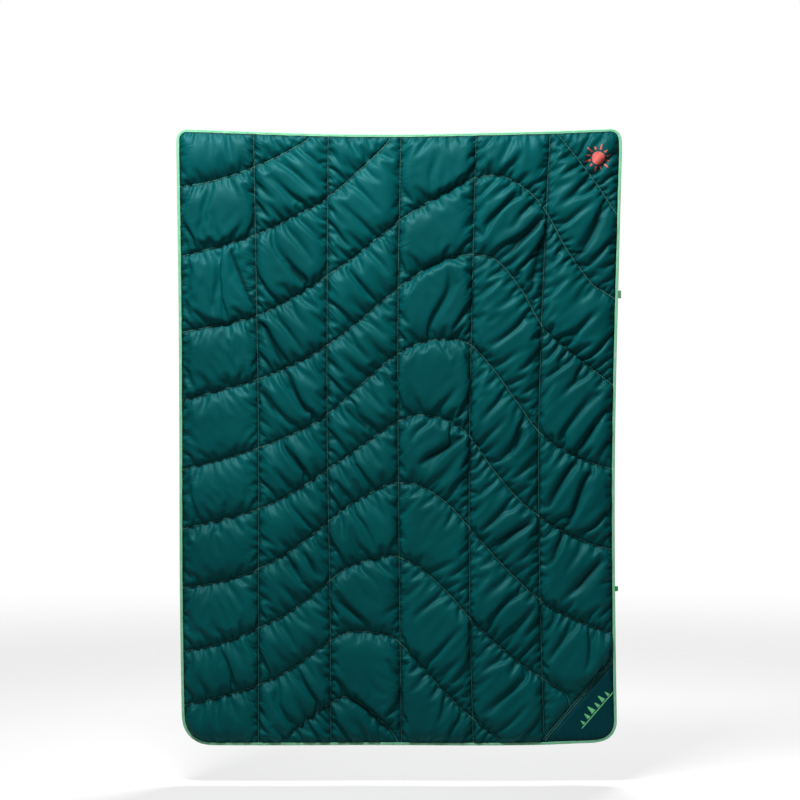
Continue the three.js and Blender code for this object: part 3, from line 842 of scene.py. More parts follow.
def make_piece(name, points, faces, look, uv=None):
    """A mesh piece from points in millimetres and faces of three or four corners."""
    mesh = bpy.data.meshes.new(name)
    groups = [np.asarray(group, np.int32) for group in faces if len(group)]
    corners = np.concatenate([group.ravel() for group in groups])
    sizes = np.concatenate([np.full(len(group), group.shape[1]) for group in groups])
    mesh.vertices.add(len(points))
    mesh.vertices.foreach_set("co", (np.asarray(points) * MM).astype(np.float32).ravel())
    mesh.loops.add(len(corners))
    mesh.loops.foreach_set("vertex_index", corners)
    mesh.polygons.add(len(sizes))
    starts = np.r_[0, np.cumsum(sizes)[:-1]].astype(np.int32)
    mesh.polygons.foreach_set("loop_start", starts)
    mesh.polygons.foreach_set("loop_total", sizes.astype(np.int32))
    mesh.update(calc_edges=True)
    mesh.polygons.foreach_set("use_smooth", np.ones(len(sizes), bool))
    if uv is not None:
        layer = mesh.uv_layers.new(name="cloth")
        layer.data.foreach_set("uv", (np.asarray(uv)[corners] * MM).astype(np.float32).ravel())
    mesh.materials.append(look)
    piece = bpy.data.objects.new(name, mesh)
    bpy.context.scene.collection.objects.link(piece)
    return piece


def settle_piece(piece, body, slot, *nodes):
    """The piece rides on a body, and stands for CAD nodes; its slot is not used."""
    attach(piece, body)
    if nodes:
        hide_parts(*nodes)


def grid_squares(shape):
    """The corners of every square of a grid of that many points each way."""
    index = np.arange(shape[0] * shape[1]).reshape(shape)
    return np.stack([index[:-1, :-1], index[1:, :-1], index[1:, 1:], index[:-1, 1:]], -1)


def ring_faces(rings, n):
    """The squares between closed rings of n points, one after another."""
    start, k = np.meshgrid(np.arange(rings - 1) * n, np.arange(n), indexing="ij")
    after = (k + 1) % n
    corners = (start + k, start + after, start + n + after, start + n + k)
    return np.stack(corners, -1).reshape(-1, 4)


def grid_faces(quilt, wanted):
    """Triangles and squares of the grid with every corner wanted, cut along the seams."""
    a, b, c, d = np.moveaxis(grid_squares(quilt["x"].shape), -1, 0)
    sewn = quilt["sewn"].ravel()
    falling = sewn[a] & sewn[c] & ~(sewn[b] & sewn[d])
    rising = sewn[b] & sewn[d] & ~(sewn[a] & sewn[c])
    triangles = np.concatenate([
        np.stack([a, b, c], -1)[falling], np.stack([a, c, d], -1)[falling],
        np.stack([a, b, d], -1)[rising], np.stack([b, c, d], -1)[rising],
    ])
    squares = np.stack([a, b, c, d], -1)[~(falling | rising)]
    return [faces[wanted(faces)] for faces in (triangles, squares)]


def used_only(points, faces, *more):
    """Leaves out the points that no face uses."""
    used = np.unique(np.concatenate([group.ravel() for group in faces]))
    new = np.full(len(points), -1)
    new[used] = np.arange(len(used))
    return [points[used], [new[group] for group in faces]] + [m[used] for m in more]


SIDE_HEMS = [LEFT_EDGE + (TAPE_WIDTH, 0), RIGHT_EDGE - (TAPE_WIDTH, 0)]
LEVEL_HEMS = [TOP_EDGE - (0, TAPE_WIDTH), BOTTOM_EDGE + (0, TAPE_WIDTH)]
UPRIGHT_LEAN, LEAN_PER_SLOPE = 90, 34  # degrees
GAP_SHOWN = 60  # distances from a seam are only told apart up to this
# A lifted cloth comes down from this far inside its cut edge, over this, to this share.
LIFT_FROM, LIFT_RUN, LIFT_AT_HEM = 2, 10, 0.2


def crease_slope(shape):
    """How steeply the fine creases leave an upright seam, at each point of the grid."""
    return np.repeat((UPRIGHT_LEAN - by_column(COLUMN_LEAN, shape[0])) / LEAN_PER_SLOPE, shape[1])


def point_attribute(piece, name, values):
    """Gives the mesh's points a number or a vector each, for the material to read."""
    kind, word = ("FLOAT", "value") if values.ndim == 1 else ("FLOAT_VECTOR", "vector")
    attribute = piece.data.attributes.new(name, kind, "POINT")
    attribute.data.foreach_set(word, values.astype(np.float32).ravel())


def cloth_piece(name, quilt, look, keep, lift=0.0):
    """The part of a quilt's cloth where keep is true, as an open sheet."""
    x, z = quilt["x"], quilt["z"]
    place = standing(quilt).reshape(-1, 3)
    inside = quilt["inside"].ravel()
    rise = np.clip((inside - LIFT_FROM) / LIFT_RUN, LIFT_AT_HEM, 1)
    place[:, 1] += quilt["face"] * lift * rise
    flat = quilt["flat"].reshape(-1, 2)

    def wanted(faces):
        return (inside[faces] > 0).any(1) & keep[faces].all(1)

    faces = grid_faces(quilt, wanted)
    drag = np.zeros(len(flat))
    if quilt["face"] == FRONT:
        faces = [group[:, ::-1] for group in faces]
        drag, _ = drag_field(flat[:, 0], flat[:, 1])
    gap = np.minimum(quilt["gap"].ravel(), GAP_SHOWN)
    upright = beside_seams(x, z, UPRIGHTS + SIDE_HEMS, crease_slope(x.shape))
    wave = beside_seams(x, z, WAVES + LEVEL_HEMS, 0)
    points, faces, flat, *values = used_only(place, faces, flat, gap, drag, upright, wave)
    piece = make_piece(name, points, faces, look, uv=flat)
    for word, value in zip(("seam_gap", "long_crease", "beside_upright", "beside_wave"), values):
        point_attribute(piece, word, value)
    return piece


# ---- Materials ----

def srgb(red, green, blue):
    """A colour given as the eye's 0 to 255, as the shader needs it."""
    def linear(c):
        c /= 255
        return c / 12.92 if c <= 0.04045 else ((c + 0.055) / 1.055)**2.4
    return (linear(red), linear(green), linear(blue), 1)


BAND_PERIOD = math.pi / 10  # of a wave texture at a scale of 1


class Look:
    """A node material with a few short ways to add nodes."""

    def __init__(self, name, roughness, **values):
        self.material = bpy.data.materials.new(name)
        self.material.use_nodes = True
        self.nodes = self.material.node_tree.nodes
        self.links = self.material.node_tree.links
        self.shader = self.nodes["Principled BSDF"]
        self.shader.inputs["Roughness"].default_value = roughness
        for socket, value in values.items():
            self.shader.inputs[socket.replace("_", " ")].default_value = value

    def node(self, kind, inputs=None, **settings):
        """A new node. Its inputs are sockets to link or plain values to set."""
        node = self.nodes.new("ShaderNode" + kind)
        for key, value in settings.items():
            setattr(node, key, value)
        for key, value in (inputs or {}).items():
            if isinstance(value, bpy.types.NodeSocket):
                self.links.new(value, node.inputs[key])
            else:
                node.inputs[key].default_value = value
        return node

    def attribute(self, name):
        return self.node("Attribute", attribute_name=name).outputs

    def cloth_place(self, scale_u=1.0, scale_v=1.0):
        """The place on the flat cloth, in metres times a scale."""
        place = self.node("UVMap", uv_map="cloth").outputs[0]
        return self.node("Mapping", {"Vector": place, "Scale": (scale_u, scale_v, 1)}).outputs[0]

    def object_place(self):
        return self.node("TexCoord").outputs["Object"]

    def noise(self, vector, scale, detail=2.0, kind="FBM"):
        inputs = {"Vector": vector, "Scale": scale, "Detail": detail}
        return self.node("TexNoise", inputs, noise_type=kind).outputs["Fac"]

    def bands(self, vector, pitch, axis):
        """Ribs of that pitch in metres along an axis."""
        inputs = {"Vector": vector, "Scale": BAND_PERIOD / pitch, "Distortion": 0.4, "Detail": 1.0}
        return self.node("TexWave", inputs, wave_type="BANDS", bands_direction=axis).outputs["Fac"]

    def math(self, operation, first, second=0.0):
        return self.node("Math", {0: first, 1: second}, operation=operation).outputs[0]

    def fall(self, value, start, end):
        """Falls smoothly from 1 to 0 as the value goes from start to end."""
        inputs = {"Value": value, "From Min": start, "From Max": end, "To Min": 1.0, "To Max": 0.0}
        return self.node("MapRange", inputs, interpolation_type="SMOOTHSTEP").outputs[0]

    def spread(self, value, low, high):
        """A value from 0 to 1 mapped to low to high."""
        inputs = {"Value": value, "To Min": low, "To Max": high}
        return self.node("MapRange", inputs).outputs[0]

    def mix(self, share, first, second):
        """A colour between two colours."""
        return self.node("Mix", {0: share, 6: first, 7: second}, data_type="RGBA").outputs[2]

    def colour(self, value):
        self.links.new(value, self.shader.inputs["Base Color"])

    def rough(self, value):
        self.links.new(value, self.shader.inputs["Roughness"])

    def bump(self, *layers):
        """Stacks bumps, each a height value and how far it stands in metres."""
        normal = None
        for height, distance in layers:
            inputs = {"Height": height, "Distance": distance, "Strength": 1.0}
            if normal is not None:
                inputs["Normal"] = normal
            normal = self.node("Bump", inputs).outputs[0]
        self.links.new(normal, self.shader.inputs["Normal"])


FINE_SPREAD = (1 / 12.5, 1 / 60, 3.7)  # along, off and between seams: shorter along than off
SHADOW_WIDTH = 0.04  # of a fine crease, as a share of its noise
VALLEY_SHADE = (0.0, 0.006, 0.008, 1)  # painted shade: the colour deep in a valley of the cloth
WEAVE, WEAVE_TALL = 0.0008, 0.00003  # metres from thread to thread, and how far they stand
# How dark the painted shade in the long creases is.
LONG_CREASE_SHADE = 0.75
# The creases beside each kind of seam: how wide and how ragged the painted dark valley is, in
# millimetres, how dark the painted shade of the valley and of the creases' shadows is, and their height
# in metres.
CREASES = (("beside_upright", 7.5, 30.0, 0.62, 0.42, 0.0042),
           ("beside_wave", 3.5, 12.0, 0.38, 0.34, 0.004))


def fine_puckers(look, seams, width, ragged):
    """The thin creases that run off a seam and fade away from it: their height, how much they
    lie in their own painted shadow, and the painted shade of the ragged valley right beside the seam."""
    beside = look.attribute(seams)["Vector"]
    spread = look.node("VectorMath", {0: beside, 1: FINE_SPREAD}, operation="MULTIPLY")
    fold = look.math("SUBTRACT", look.noise(spread.outputs[0], 1.0, 1.5), 0.5)
    crease = look.math("ABSOLUTE", fold)
    off = look.node("SeparateXYZ", {0: beside}).outputs["Y"]
    height = look.math("MULTIPLY", crease, look.fall(off, 0.0, FINE_REACH))
    shadow = look.math("MULTIPLY", look.fall(crease, 0.0, SHADOW_WIDTH),
                       look.fall(off, 0.0, 0.7 * FINE_REACH))
    uneven = look.math("ADD", off, look.math("MULTIPLY", fold, ragged))
    return height, shadow, look.fall(uneven, 0.0, width)


def satin(name, deep, light, seam, roughness, sheen):
    """Smooth woven nylon: fine weave, creases, and painted shade in the seams and the creases."""
    look = Look(name, roughness, Sheen_Weight=sheen, Sheen_Roughness=0.5, Sheen_Tint=srgb(*light),
                Specular_IOR_Level=0.23, Specular_Tint=(0.36, 0.95, 1, 1))
    place = look.object_place()
    patches = look.spread(look.noise(place, 5.0, 3.0), -0.2, 1.2)
    base = look.mix(patches, srgb(*deep), srgb(*light))
    uneven = look.spread(look.noise(place, 45.0, 4.0), 0.3, 1.1)
    # Painted shade: within 7 mm of a seam the cloth takes the darker seam colour, unevenly.
    by_seam = look.fall(look.attribute("seam_gap")["Fac"], 0.0, 7.0)
    painted_seam_shade = look.math("MULTIPLY", by_seam, uneven)
    # Painted shade along the long creases.
    long_crease = look.fall(look.attribute("long_crease")["Fac"], 1.0, 0.45)
    shade = look.math("MULTIPLY", long_crease, LONG_CREASE_SHADE)
    bumps = []
    # Painted shade in the valleys beside the seams and in the fine creases' shadows.
    for seams, width, ragged, valley_shade, shadow_dark, tall in CREASES:
        height, shadow, valley = fine_puckers(look, seams, width, ragged)
        for dark, share in ((valley, valley_shade), (shadow, shadow_dark)):
            shade = look.math("MAXIMUM", shade, look.math("MULTIPLY", dark, share))
        bumps.append((height, tall))
    look.colour(look.mix(shade, look.mix(painted_seam_shade, base, srgb(*seam)), VALLEY_SHADE))
    look.rough(look.spread(look.noise(place, 14.0, 4.0), roughness - 0.07, roughness + 0.07))
    bumps.append((look.noise(look.cloth_place(46, 30), 1.0, 4.0, "RIDGED_MULTIFRACTAL"), 0.0007))
    bumps += [(look.bands(look.cloth_place(), WEAVE, axis), WEAVE_TALL) for axis in "XY"]
    look.bump(*bumps)
    return look.material


def grosgrain(name, base, deep, worn, pitch):
    """Ribbed tape: ribs across it, paler threads in random blotches."""
    look = Look(name, 0.62, Sheen_Weight=0.25, Sheen_Roughness=0.4)
    ribs = look.bands(look.cloth_place(), pitch, "X")
    threads = look.bands(look.cloth_place(), 0.0005, "Y")
    blotches = look.noise(look.object_place(), 60.0, 4.0)
    ribbed = look.mix(look.spread(ribs, 0.15, 1.0), srgb(*deep), srgb(*base))
    look.colour(look.mix(look.spread(blotches, -0.5, 0.9), ribbed, srgb(*worn)))
    look.rough(look.spread(blotches, 0.5, 0.74))
    look.bump((ribs, 0.00018), (threads, 0.00003))
    return look.material


def spun_thread(name, base, deep):
    """Twisted polyester thread."""
    look = Look(name, 0.55, Sheen_Weight=0.2)
    place = look.object_place()
    twist = look.node("TexWave", {"Vector": place, "Scale": 520.0, "Distortion": 2.0},
                      wave_type="BANDS", bands_direction="DIAGONAL").outputs["Fac"]
    look.colour(look.mix(look.spread(look.noise(place, 90.0), -0.3, 1.3), srgb(*deep), srgb(*base)))
    look.rough(look.spread(twist, 0.45, 0.7))
    look.bump((twist, 0.0001))
    return look.material


def printed_ink(name, base, deep):
    """Ink printed on cloth: faintly mottled, with the weave showing through."""
    look = Look(name, 0.55)
    place = look.object_place()
    mottle = look.noise(place, 160.0, 4.0)
    look.colour(look.mix(look.spread(mottle, -0.2, 1.1), srgb(*deep), srgb(*base)))
    look.rough(look.spread(mottle, 0.45, 0.68))
    weave = look.node("TexWave", {"Vector": place, "Scale": 380.0}, wave_type="BANDS",
                      bands_direction="Z").outputs["Fac"]
    look.bump((weave, 0.00005), (mottle, 0.0001))
    return look.material


def fibre_batting(name):
    """White polyester fibre."""
    look = Look(name, 0.95, Sheen_Weight=0.3)
    place = look.object_place()
    fibres = look.noise(place, 240.0, 6.0, "RIDGED_MULTIFRACTAL")
    look.colour(look.mix(fibres, srgb(205, 204, 198), srgb(240, 240, 236)))
    look.rough(look.spread(fibres, 0.85, 1.0))
    look.bump((fibres, 0.0006))
    return look.material


# Colours are the eye's 0 to 255. A tape's last value is the pitch of its ribs in metres. A satin's third
# colour is painted shade for the cloth beside its seams.
LOOKS = {
    "front": satin("teal_satin", (0, 76, 78), (2, 98, 100), (0, 52, 54), 0.47, 0.06),
    "back": satin("teal_satin_back", (0, 64, 68), (2, 84, 88), (0, 44, 47), 0.46, 0.05),
    "patch": satin("patch_satin", (0, 60, 68), (0, 68, 76), (0, 44, 50), 0.5, 0.05),
    "binding": grosgrain("mint_tape", (156, 242, 192), (114, 214, 156), (188, 249, 212), 0.0012),
    "upper_tab": grosgrain("sage_tape", (128, 178, 138), (80, 132, 92), (150, 192, 156), 0.0011),
    "lower_tab": grosgrain("green_tape", (42, 172, 74), (26, 140, 54), (70, 186, 96), 0.0011),
    "label": grosgrain("label_ribbon", (232, 234, 228), (206, 210, 204), (240, 241, 236), 0.0007),
    "wave_rows": spun_thread("wave_thread", (126, 204, 182), (100, 178, 156)),
    # The upright rows are the same thread as the waves, painted darker as shade deep in the upright
    # valleys.
    "upright_rows": spun_thread("upright_thread_in_shade", (90, 172, 152), (68, 142, 124)),
    "binding_row": spun_thread("binding_thread", (160, 240, 190), (116, 206, 152)),
    "sun": printed_ink("coral_ink", (236, 112, 100), (214, 88, 80)),
    "pines": printed_ink("mint_ink", (144, 244, 170), (108, 220, 142)),
    "batting": fibre_batting("polyester_fibre"),
}


# ---- The shells, the batting and the patch ----

with ThreadPoolExecutor(2) as pool:
    front, back = pool.map(hang_quilt, (FRONT, BACK), (FRONT_SEED, BACK_SEED))

everywhere = np.ones(front["x"].size, bool)
patch_depth = inside_patch(front["flat"][..., 0], front["flat"][..., 1])
ON_SEAM = 0.05  # a point this near the patch's edge lies on it
PATCH_LIFT = 0.9  # of the patch off the front shell's own height
PRESSED = 0.25  # share of that height that the shell keeps under the patch

pressed = dict(front)
pressed["place"] = front["place"].copy()
under_patch = SEAM_HEIGHT + PRESSED * (front["place"][1] - SEAM_HEIGHT)
pressed["place"][1] = np.where(patch_depth > ON_SEAM, under_patch, front["place"][1])

front_cloth = cloth_piece("front_shell_cloth", pressed, LOOKS["front"], everywhere)
settle_piece(front_cloth, "blanket", "front_fabric", "front_shell")
back_cloth = cloth_piece("back_shell_cloth", back, LOOKS["back"], everywhere)
settle_piece(back_cloth, "blanket", "back_fabric", "back_shell")
on_patch = patch_depth.ravel() > -ON_SEAM
patch_cloth = cloth_piece("corner_patch_cloth", front, LOOKS["patch"], on_patch, PATCH_LIFT)
settle_piece(patch_cloth, "blanket", "patch_fabric", "corner_patch")

BATTING_EVERY = 2  # grid cells in one of the batting's
BATTING_SHARE, BATTING_GAP = 0.9, 0.8  # its height under the cloth: this share, less this
BATTING_LEAST = 0.12
BATTING_EDGE = 2  # inside the shells' cut edge
LOWEST_WITHIN = 3  # cells: it follows the lowest cloth around each point


def batting_piece(name):
    """The fill between the shells, closed all round, a little inside both."""
    cut = every(BATTING_EVERY)
    inside = pressed["inside"][cut]
    x, z = pressed["flat"][..., 0][cut], pressed["flat"][..., 1][cut]
    middle = drape(x, z)
    around = range(-LOWEST_WITHIN, LOWEST_WITHIN + 1)
    sides = []
    for quilt in (pressed, back):
        height = quilt["place"][1]
        for axis in (0, 1):
            height = np.minimum.reduce([np.roll(height, k, axis) for k in around])
        thick = np.maximum(BATTING_SHARE * height[cut] - BATTING_GAP, BATTING_LEAST)
        sides.append(np.stack([x, middle + quilt["face"] * thick, z], -1).reshape(-1, 3))
    squares = grid_squares(x.shape).reshape(-1, 4)
    squares = squares[(inside.ravel()[squares] > BATTING_EDGE).all(1)]
    ends = np.concatenate([squares[:, [k, (k + 1) % 4]] for k in range(4)])
    both = {tuple(e) for e in ends}
    rim = np.array([e for e in ends if (e[1], e[0]) not in both])
    walls = np.stack([rim[:, 1], rim[:, 0], rim[:, 0] + x.size, rim[:, 1] + x.size], 1)
    faces = [np.concatenate([squares[:, ::-1], squares + x.size, walls[:, ::-1]])]
    points, faces = used_only(np.concatenate(sides), faces)
    return make_piece(name, points, faces, LOOKS["batting"])


batting = batting_piece("batting_fill")
settle_piece(batting, "blanket", "batting", "insulation")


# ---- The binding ----

TAPE = 0.22  # half the tape's thickness
# Middle of the folded tape from its front edge to the fold: how far inside the outer edge,
# and how far towards the back. From the fold to its back edge it is the same, mirrored.
TAPE_FRONT = [(TAPE_WIDTH, -1.55), (5.2, -1.95), (4.2, -2.0), (TAPE_ROW, -1.62), (2.3, -2.0),
              (1.2, -1.95), (0.45, -1.3)]
TAPE_PATH = TAPE_FRONT + [(TAPE, 0.0)] + [(d, -y) for d, y in reversed(TAPE_FRONT)]
PATH_STEP = 0.5
TAPE_RUN_IN = 3  # the fold stays in place, and the tape sways in full from here inwards
# The tape's unevenness along its run: seed, size and about how long one bump is.
SWAY, SWELL, LEAN = (5, 0.16, 17), (6, 0.05, 9), (8, 0.14, 12)


def tape_section():
    """A closed outline around the tape's path, and how far along the path each corner is."""
    path = smooth_line(TAPE_PATH, PATH_STEP)
    way = unit(np.gradient(path, axis=0))
    side = np.stack([-way[:, 1], way[:, 0]], 1) * TAPE
    run = run_along(path)
    return np.vstack([path + side, (path - side)[::-1]]), np.r_[run, run[::-1]]


def ripple(run, seed, size, wave):
    """Small smooth values along a closed run of length run[-1]."""
    rng = np.random.default_rng(seed)
    count = max(4, int(run[-1] / wave))
    value = rng.standard_normal(count)
    t = run / run[-1] * count
    i = t.astype(int)
    w = cubic_weights(t - i)
    return size * sum(w[k] * value[(i - 1 + k) % count] for k in range(4))


def binding_piece(name):
    """The tape folded over the whole edge. Its two ends meet where the loop starts."""
    section, across = tape_section()
    depth, towards_back = section.T
    loop, way = closed(OUTER_LOOP), closed(loop_ways(OUTER_LOOP))
    inwards = np.stack([-way[:, 1], way[:, 0]], 1)
    run = run_along(loop)
    sway, swell, lean = (ripple(run, *kind)[:, None] for kind in (SWAY, SWELL, LEAN))
    depth = depth + sway * np.minimum(1, depth / TAPE_RUN_IN)
    flat = loop[:, None, :] + inwards[:, None, :] * depth[..., None]
    y = towards_back * (1 + swell) + lean + drape(flat[..., 0], flat[..., 1])
    points = np.stack([flat[..., 0], y, flat[..., 1]], -1)
    uv = np.stack(np.broadcast_arrays(run[:, None], across[None, :]), -1)
    faces = ring_faces(*points.shape[:2])[:, ::-1]
    return make_piece(name, points.reshape(-1, 3), [faces], LOOKS["binding"], uv.reshape(-1, 2))


binding = binding_piece("binding_tape")
settle_piece(binding, "blanket", "binding_tape", "edge_binding")


# ---- Stitches ----

STITCH_SIDES = 6
# Each ring of a stitch: how far along it, in lengths, and its width and height, in radii.
STITCH_RINGS = ((-0.5, 0.35, -0.75), (-0.42, 0.8, -0.25), (-0.2, 1.0, 0.0),
                (0.2, 1.0, 0.0), (0.42, 0.8, -0.25), (0.5, 0.35, -0.75))
THREAD_FLATNESS = 0.85
SUNK = 0.55  # a stitch's middle lies this many thread radii off the cloth
TURN_SPREAD = 0.035  # radians
LENGTH_SPREAD = (0.92, 1.04)
END_UNDER_TAPE = 0.8  # how far a seam's last stitch may reach under the binding
ROW_HEIGHT = TAPE - dict(TAPE_FRONT)[TAPE_ROW]  # of the binding's own row, in its dip


def stitch_shape():
    """One stitch along +X on a cloth that faces +Y: a thread that dips in at both ends."""
    turns = np.arange(STITCH_SIDES) * 2 * math.pi / STITCH_SIDES
    points = []
    for along, wide, high in STITCH_RINGS:
        for turn in turns:
            height = high + THREAD_FLATNESS * wide * math.sin(turn)
            points.append((along * STITCH, height * THREAD, wide * THREAD * math.cos(turn)))
    last = (len(STITCH_RINGS) - 1) * STITCH_SIDES
    caps = []
    for k in range(1, STITCH_SIDES - 1):
        caps.append((0, k + 1, k))
        caps.append((last, last + k, last + k + 1))
    return np.array(points), ring_faces(len(STITCH_RINGS), STITCH_SIDES), np.array(caps)


ONE_STITCH = stitch_shape()


def stitches(name, rows, look, slot, node):
    """Stitches along rows, each a line, a face and a height off the mid plane."""
    shape, sides, caps = ONE_STITCH
    points, quads, triangles = [], [], []
    first = 0
    for line, face, height in rows:
        at, way = even_line(line, STITCH + STITCH_GAP)
        rng = np.random.default_rng(len(at) * 2 + (face > 0))
        turn = rng.normal(0, TURN_SPREAD, len(at))
        cos, sin = np.cos(turn), np.sin(turn)
        way = np.stack([way[:, 0] * cos - way[:, 1] * sin, way[:, 0] * sin + way[:, 1] * cos], 1)
        length = rng.uniform(*LENGTH_SPREAD, len(at))[:, None]
        x = at[:, :1] + shape[:, 0] * way[:, :1] * length - shape[:, 2] * way[:, 1:]
        z = at[:, 1:] + shape[:, 0] * way[:, 1:] * length + shape[:, 2] * way[:, :1]
        y = face * (height + SUNK * THREAD + shape[:, 1]) + drape(at[:, 0], at[:, 1])[:, None]
        points.append(np.stack([x, y, z], -1).reshape(-1, 3))
        starts = first + np.arange(len(at))[:, None, None] * len(shape)
        order = slice(None, None, -1 if face == BACK else 1)
        quads.append((sides[None] + starts).reshape(-1, 4)[:, order])
        triangles.append((caps[None] + starts).reshape(-1, 3)[:, order])
        first += len(at) * len(shape)
    faces = [np.concatenate(quads), np.concatenate(triangles)]
    piece = make_piece(name, np.concatenate(points), faces, LOOKS[look])
    settle_piece(piece, "blanket", slot, node)


def between_tapes(line):
    """The part of a line that stays clear of the binding, but for the last little bit."""
    line = smooth_line(line, LINE_STEP / 2)
    inside, _, _ = edge_field(line[:, 0], line[:, 1])
    return line[inside > TAPE_OVER - END_UNDER_TAPE]


def quilting_stitches():
    """The upright seams and the waves go through all layers, but not through the patch."""
    seams = [(node, line, "upright_rows") for node, line in zip(UPRIGHT_NAMES, UPRIGHTS)]
    seams += [(node, line, "wave_rows") for node, line in zip(WAVE_NAMES, WAVES)]
    for node, line, look in seams:
        line = between_tapes(line)
        in_front = line[inside_patch(line[:, 0], line[:, 1]) < 0]
        rows = [(in_front, FRONT, SEAM_HEIGHT), (line, BACK, SEAM_HEIGHT)]
        stitches(node + "_stitches", rows, look, "quilting_thread", node)


def patch_stitches():
    """The two rows along the patch's slanted edge go through all layers."""
    for node, line in zip(PATCH_NAMES, PATCH_ROWS):
        line = between_tapes(line)
        rows = [(line, FRONT, SEAM_HEIGHT + PATCH_LIFT), (line, BACK, SEAM_HEIGHT)]
        stitches(node + "_stitches", rows, "wave_rows", "quilting_thread", node)


def binding_stitches():
    """One row goes round the tape on each face."""
    for face, word in ((FRONT, "front"), (BACK, "back")):
        stitches("binding_stitches_" + word, [(closed(ROW_LOOP), face, ROW_HEIGHT)],
                 "binding_row", "binding_thread", "binding_stitch_" + word)


quilting_stitches()
patch_stitches()
binding_stitches()


# ---- Printed marks ----

def turned(points, middle, size, turn):
    """The points of a mark of unit size, put in place on the cloth."""
    cos, sin = math.cos(turn) * size, math.sin(turn) * size
    return [(middle[0] + x * cos - z * sin, middle[1] + x * sin + z * cos) for x, z in points]


SUN_RAYS = 12
SUN_DISC = 0.44  # all in the sun's radius
LONG_RAY, SHORT_RAY = 1.0, 0.82
RAY_FOOT, RAY_FOOT_HALF = 0.56, 0.075
RAY_TIP, RAY_TIP_HALF = 0.04, 0.035


def sun_outlines(middle, radius):
    """A plain sun: a disc, and rays around it, long and short by turns."""
    turns = np.linspace(0, 2 * math.pi, 40)[:-1]
    disc = [(SUN_DISC * math.cos(a), SUN_DISC * math.sin(a)) for a in turns]
    outlines = [turned(disc, middle, radius, 0)]
    for k in range(SUN_RAYS):
        reach = LONG_RAY if k % 2 == 0 else SHORT_RAY
        half = [(RAY_FOOT, RAY_FOOT_HALF), (reach - RAY_TIP, RAY_TIP_HALF)]
        ray = [(x, -z) for x, z in half] + [(reach, 0)] + half[::-1]
        outlines.append(turned(ray, middle, radius, (k + 0.5) * 2 * math.pi / SUN_RAYS))
    return outlines


PINE_HEIGHTS = (0.62, 0.9, 0.7, 1, 0.78, 0.58)
PINE_TIP, TRUNK_HALF = 1.25, 0.05
GROUND_TOP, GROUND_DEPTH = -0.03, 0.16
GROUND_PAST = 0.7
PINE_TIERS = ((0.20, 0.86, 0.11), (0.31, 0.50, 0.17), (0.42, 0.14, 0.05))  # reach, height, step in


def pine_outlines(middle, size, turn):
    """Plain pine trees on one ground line, in units of the distance between two trees."""
    last = (len(PINE_HEIGHTS) - 1) / 2
    end = last + GROUND_PAST
    outlines = [[(-end, -GROUND_DEPTH), (end, -GROUND_DEPTH), (end, GROUND_TOP), (-end, GROUND_TOP)]]
    for k, height in enumerate(PINE_HEIGHTS):
        right = [(0.0, PINE_TIP)]
        for reach, level, inner in PINE_TIERS:
            right += [(reach, level), (inner, level)]
        right.append((TRUNK_HALF, 0.0))
        left = [(-x, z) for x, z in reversed(right[1:])]
        outlines.append([(last - k + x * height, z * height) for x, z in right + left])
    return [turned(outline, middle, size, turn) for outline in outlines]


PRINT_STEP = 1.6  # between the points of a print's mesh
PRINT_THICK = 0.12
PRINT_LIFT = {"sun": 0.5, "pines": PATCH_LIFT + 0.3}  # off the front cloth


def print_piece(name, outlines, lift, look):
    """A printed film that lies on the front cloth."""
    places, triangles, count = [], [], 0
    for outline in outlines:
        outline = smooth_edges(outline, PRINT_STEP)
        low, high = np.min(outline, 0), np.max(outline, 0)
        inner = [Vector((x, z)) for x in np.arange(low[0], high[0], PRINT_STEP)
                 for z in np.arange(low[1], high[1], PRINT_STEP)]
        points = [Vector(p) for p in outline] + inner
        edges = [(k, (k + 1) % len(outline)) for k in range(len(outline))]
        flat, _, faces, _, _, _ = delaunay_2d_cdt(points, edges, [], 1, 1e-4)
        places.append(np.array([tuple(p) for p in flat]))
        triangles.append(np.array([f for f in faces if len(f) == 3]) + count)
        count += len(flat)
    flat, faces = np.concatenate(places), np.concatenate(triangles)
    at = on_cloth(front, flat[:, 0], flat[:, 1], lift)
    at, faces, flat = used_only(at, [faces], flat)
    piece = make_piece(name, at, faces, look, uv=flat)
    film = piece.modifiers.new("film", "SOLIDIFY")
    film.thickness = PRINT_THICK * MM
    film.offset = -1
    return piece


def smooth_edges(outline, step):
    """The outline with points along its straight edges."""
    points = []
    for k, start in enumerate(outline):
        end = outline[(k + 1) % len(outline)]
        count = max(1, round(math.dist(start, end) / step))
        for n in range(count):
            points.append((start[0] + (end[0] - start[0]) * n / count,
                           start[1] + (end[1] - start[1]) * n / count))
    return points


def middle_of(node):
    """X and Z of the middle of a CAD node."""
    low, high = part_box(node)
    return ((low.x + high.x) / 2 / MM, (low.z + high.z) / 2 / MM)


sun_low, sun_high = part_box("sun_emblem")
sun_radius = (sun_high.x - sun_low.x) / 2 / MM
sun_shapes = sun_outlines(middle_of("sun_emblem"), sun_radius)
sun = print_piece("sun_print", sun_shapes, PRINT_LIFT["sun"], LOOKS["sun"])
settle_piece(sun, "blanket", "coral_print", "sun_emblem")

corners = node_corners("pines_emblem")[:, [0, 2]]
ground_ends = np.sort(corners @ slant)[[0, -1]]
pine_pitch = np.diff(ground_ends)[0] / (len(PINE_HEIGHTS) - 1 + 2 * GROUND_PAST)
ground = (corners @ SLANT_IN).max() - GROUND_DEPTH * pine_pitch
pines_at = ground_ends.mean() * slant + ground * SLANT_IN
pine_shapes = pine_outlines(pines_at, pine_pitch, math.atan2(slant[1], slant[0]))
pines = print_piece("pines_print", pine_shapes, PRINT_LIFT["pines"], LOOKS["pines"])
settle_piece(pines, "blanket", "mint_print", "pines_emblem")


# ---- Tabs and label ----

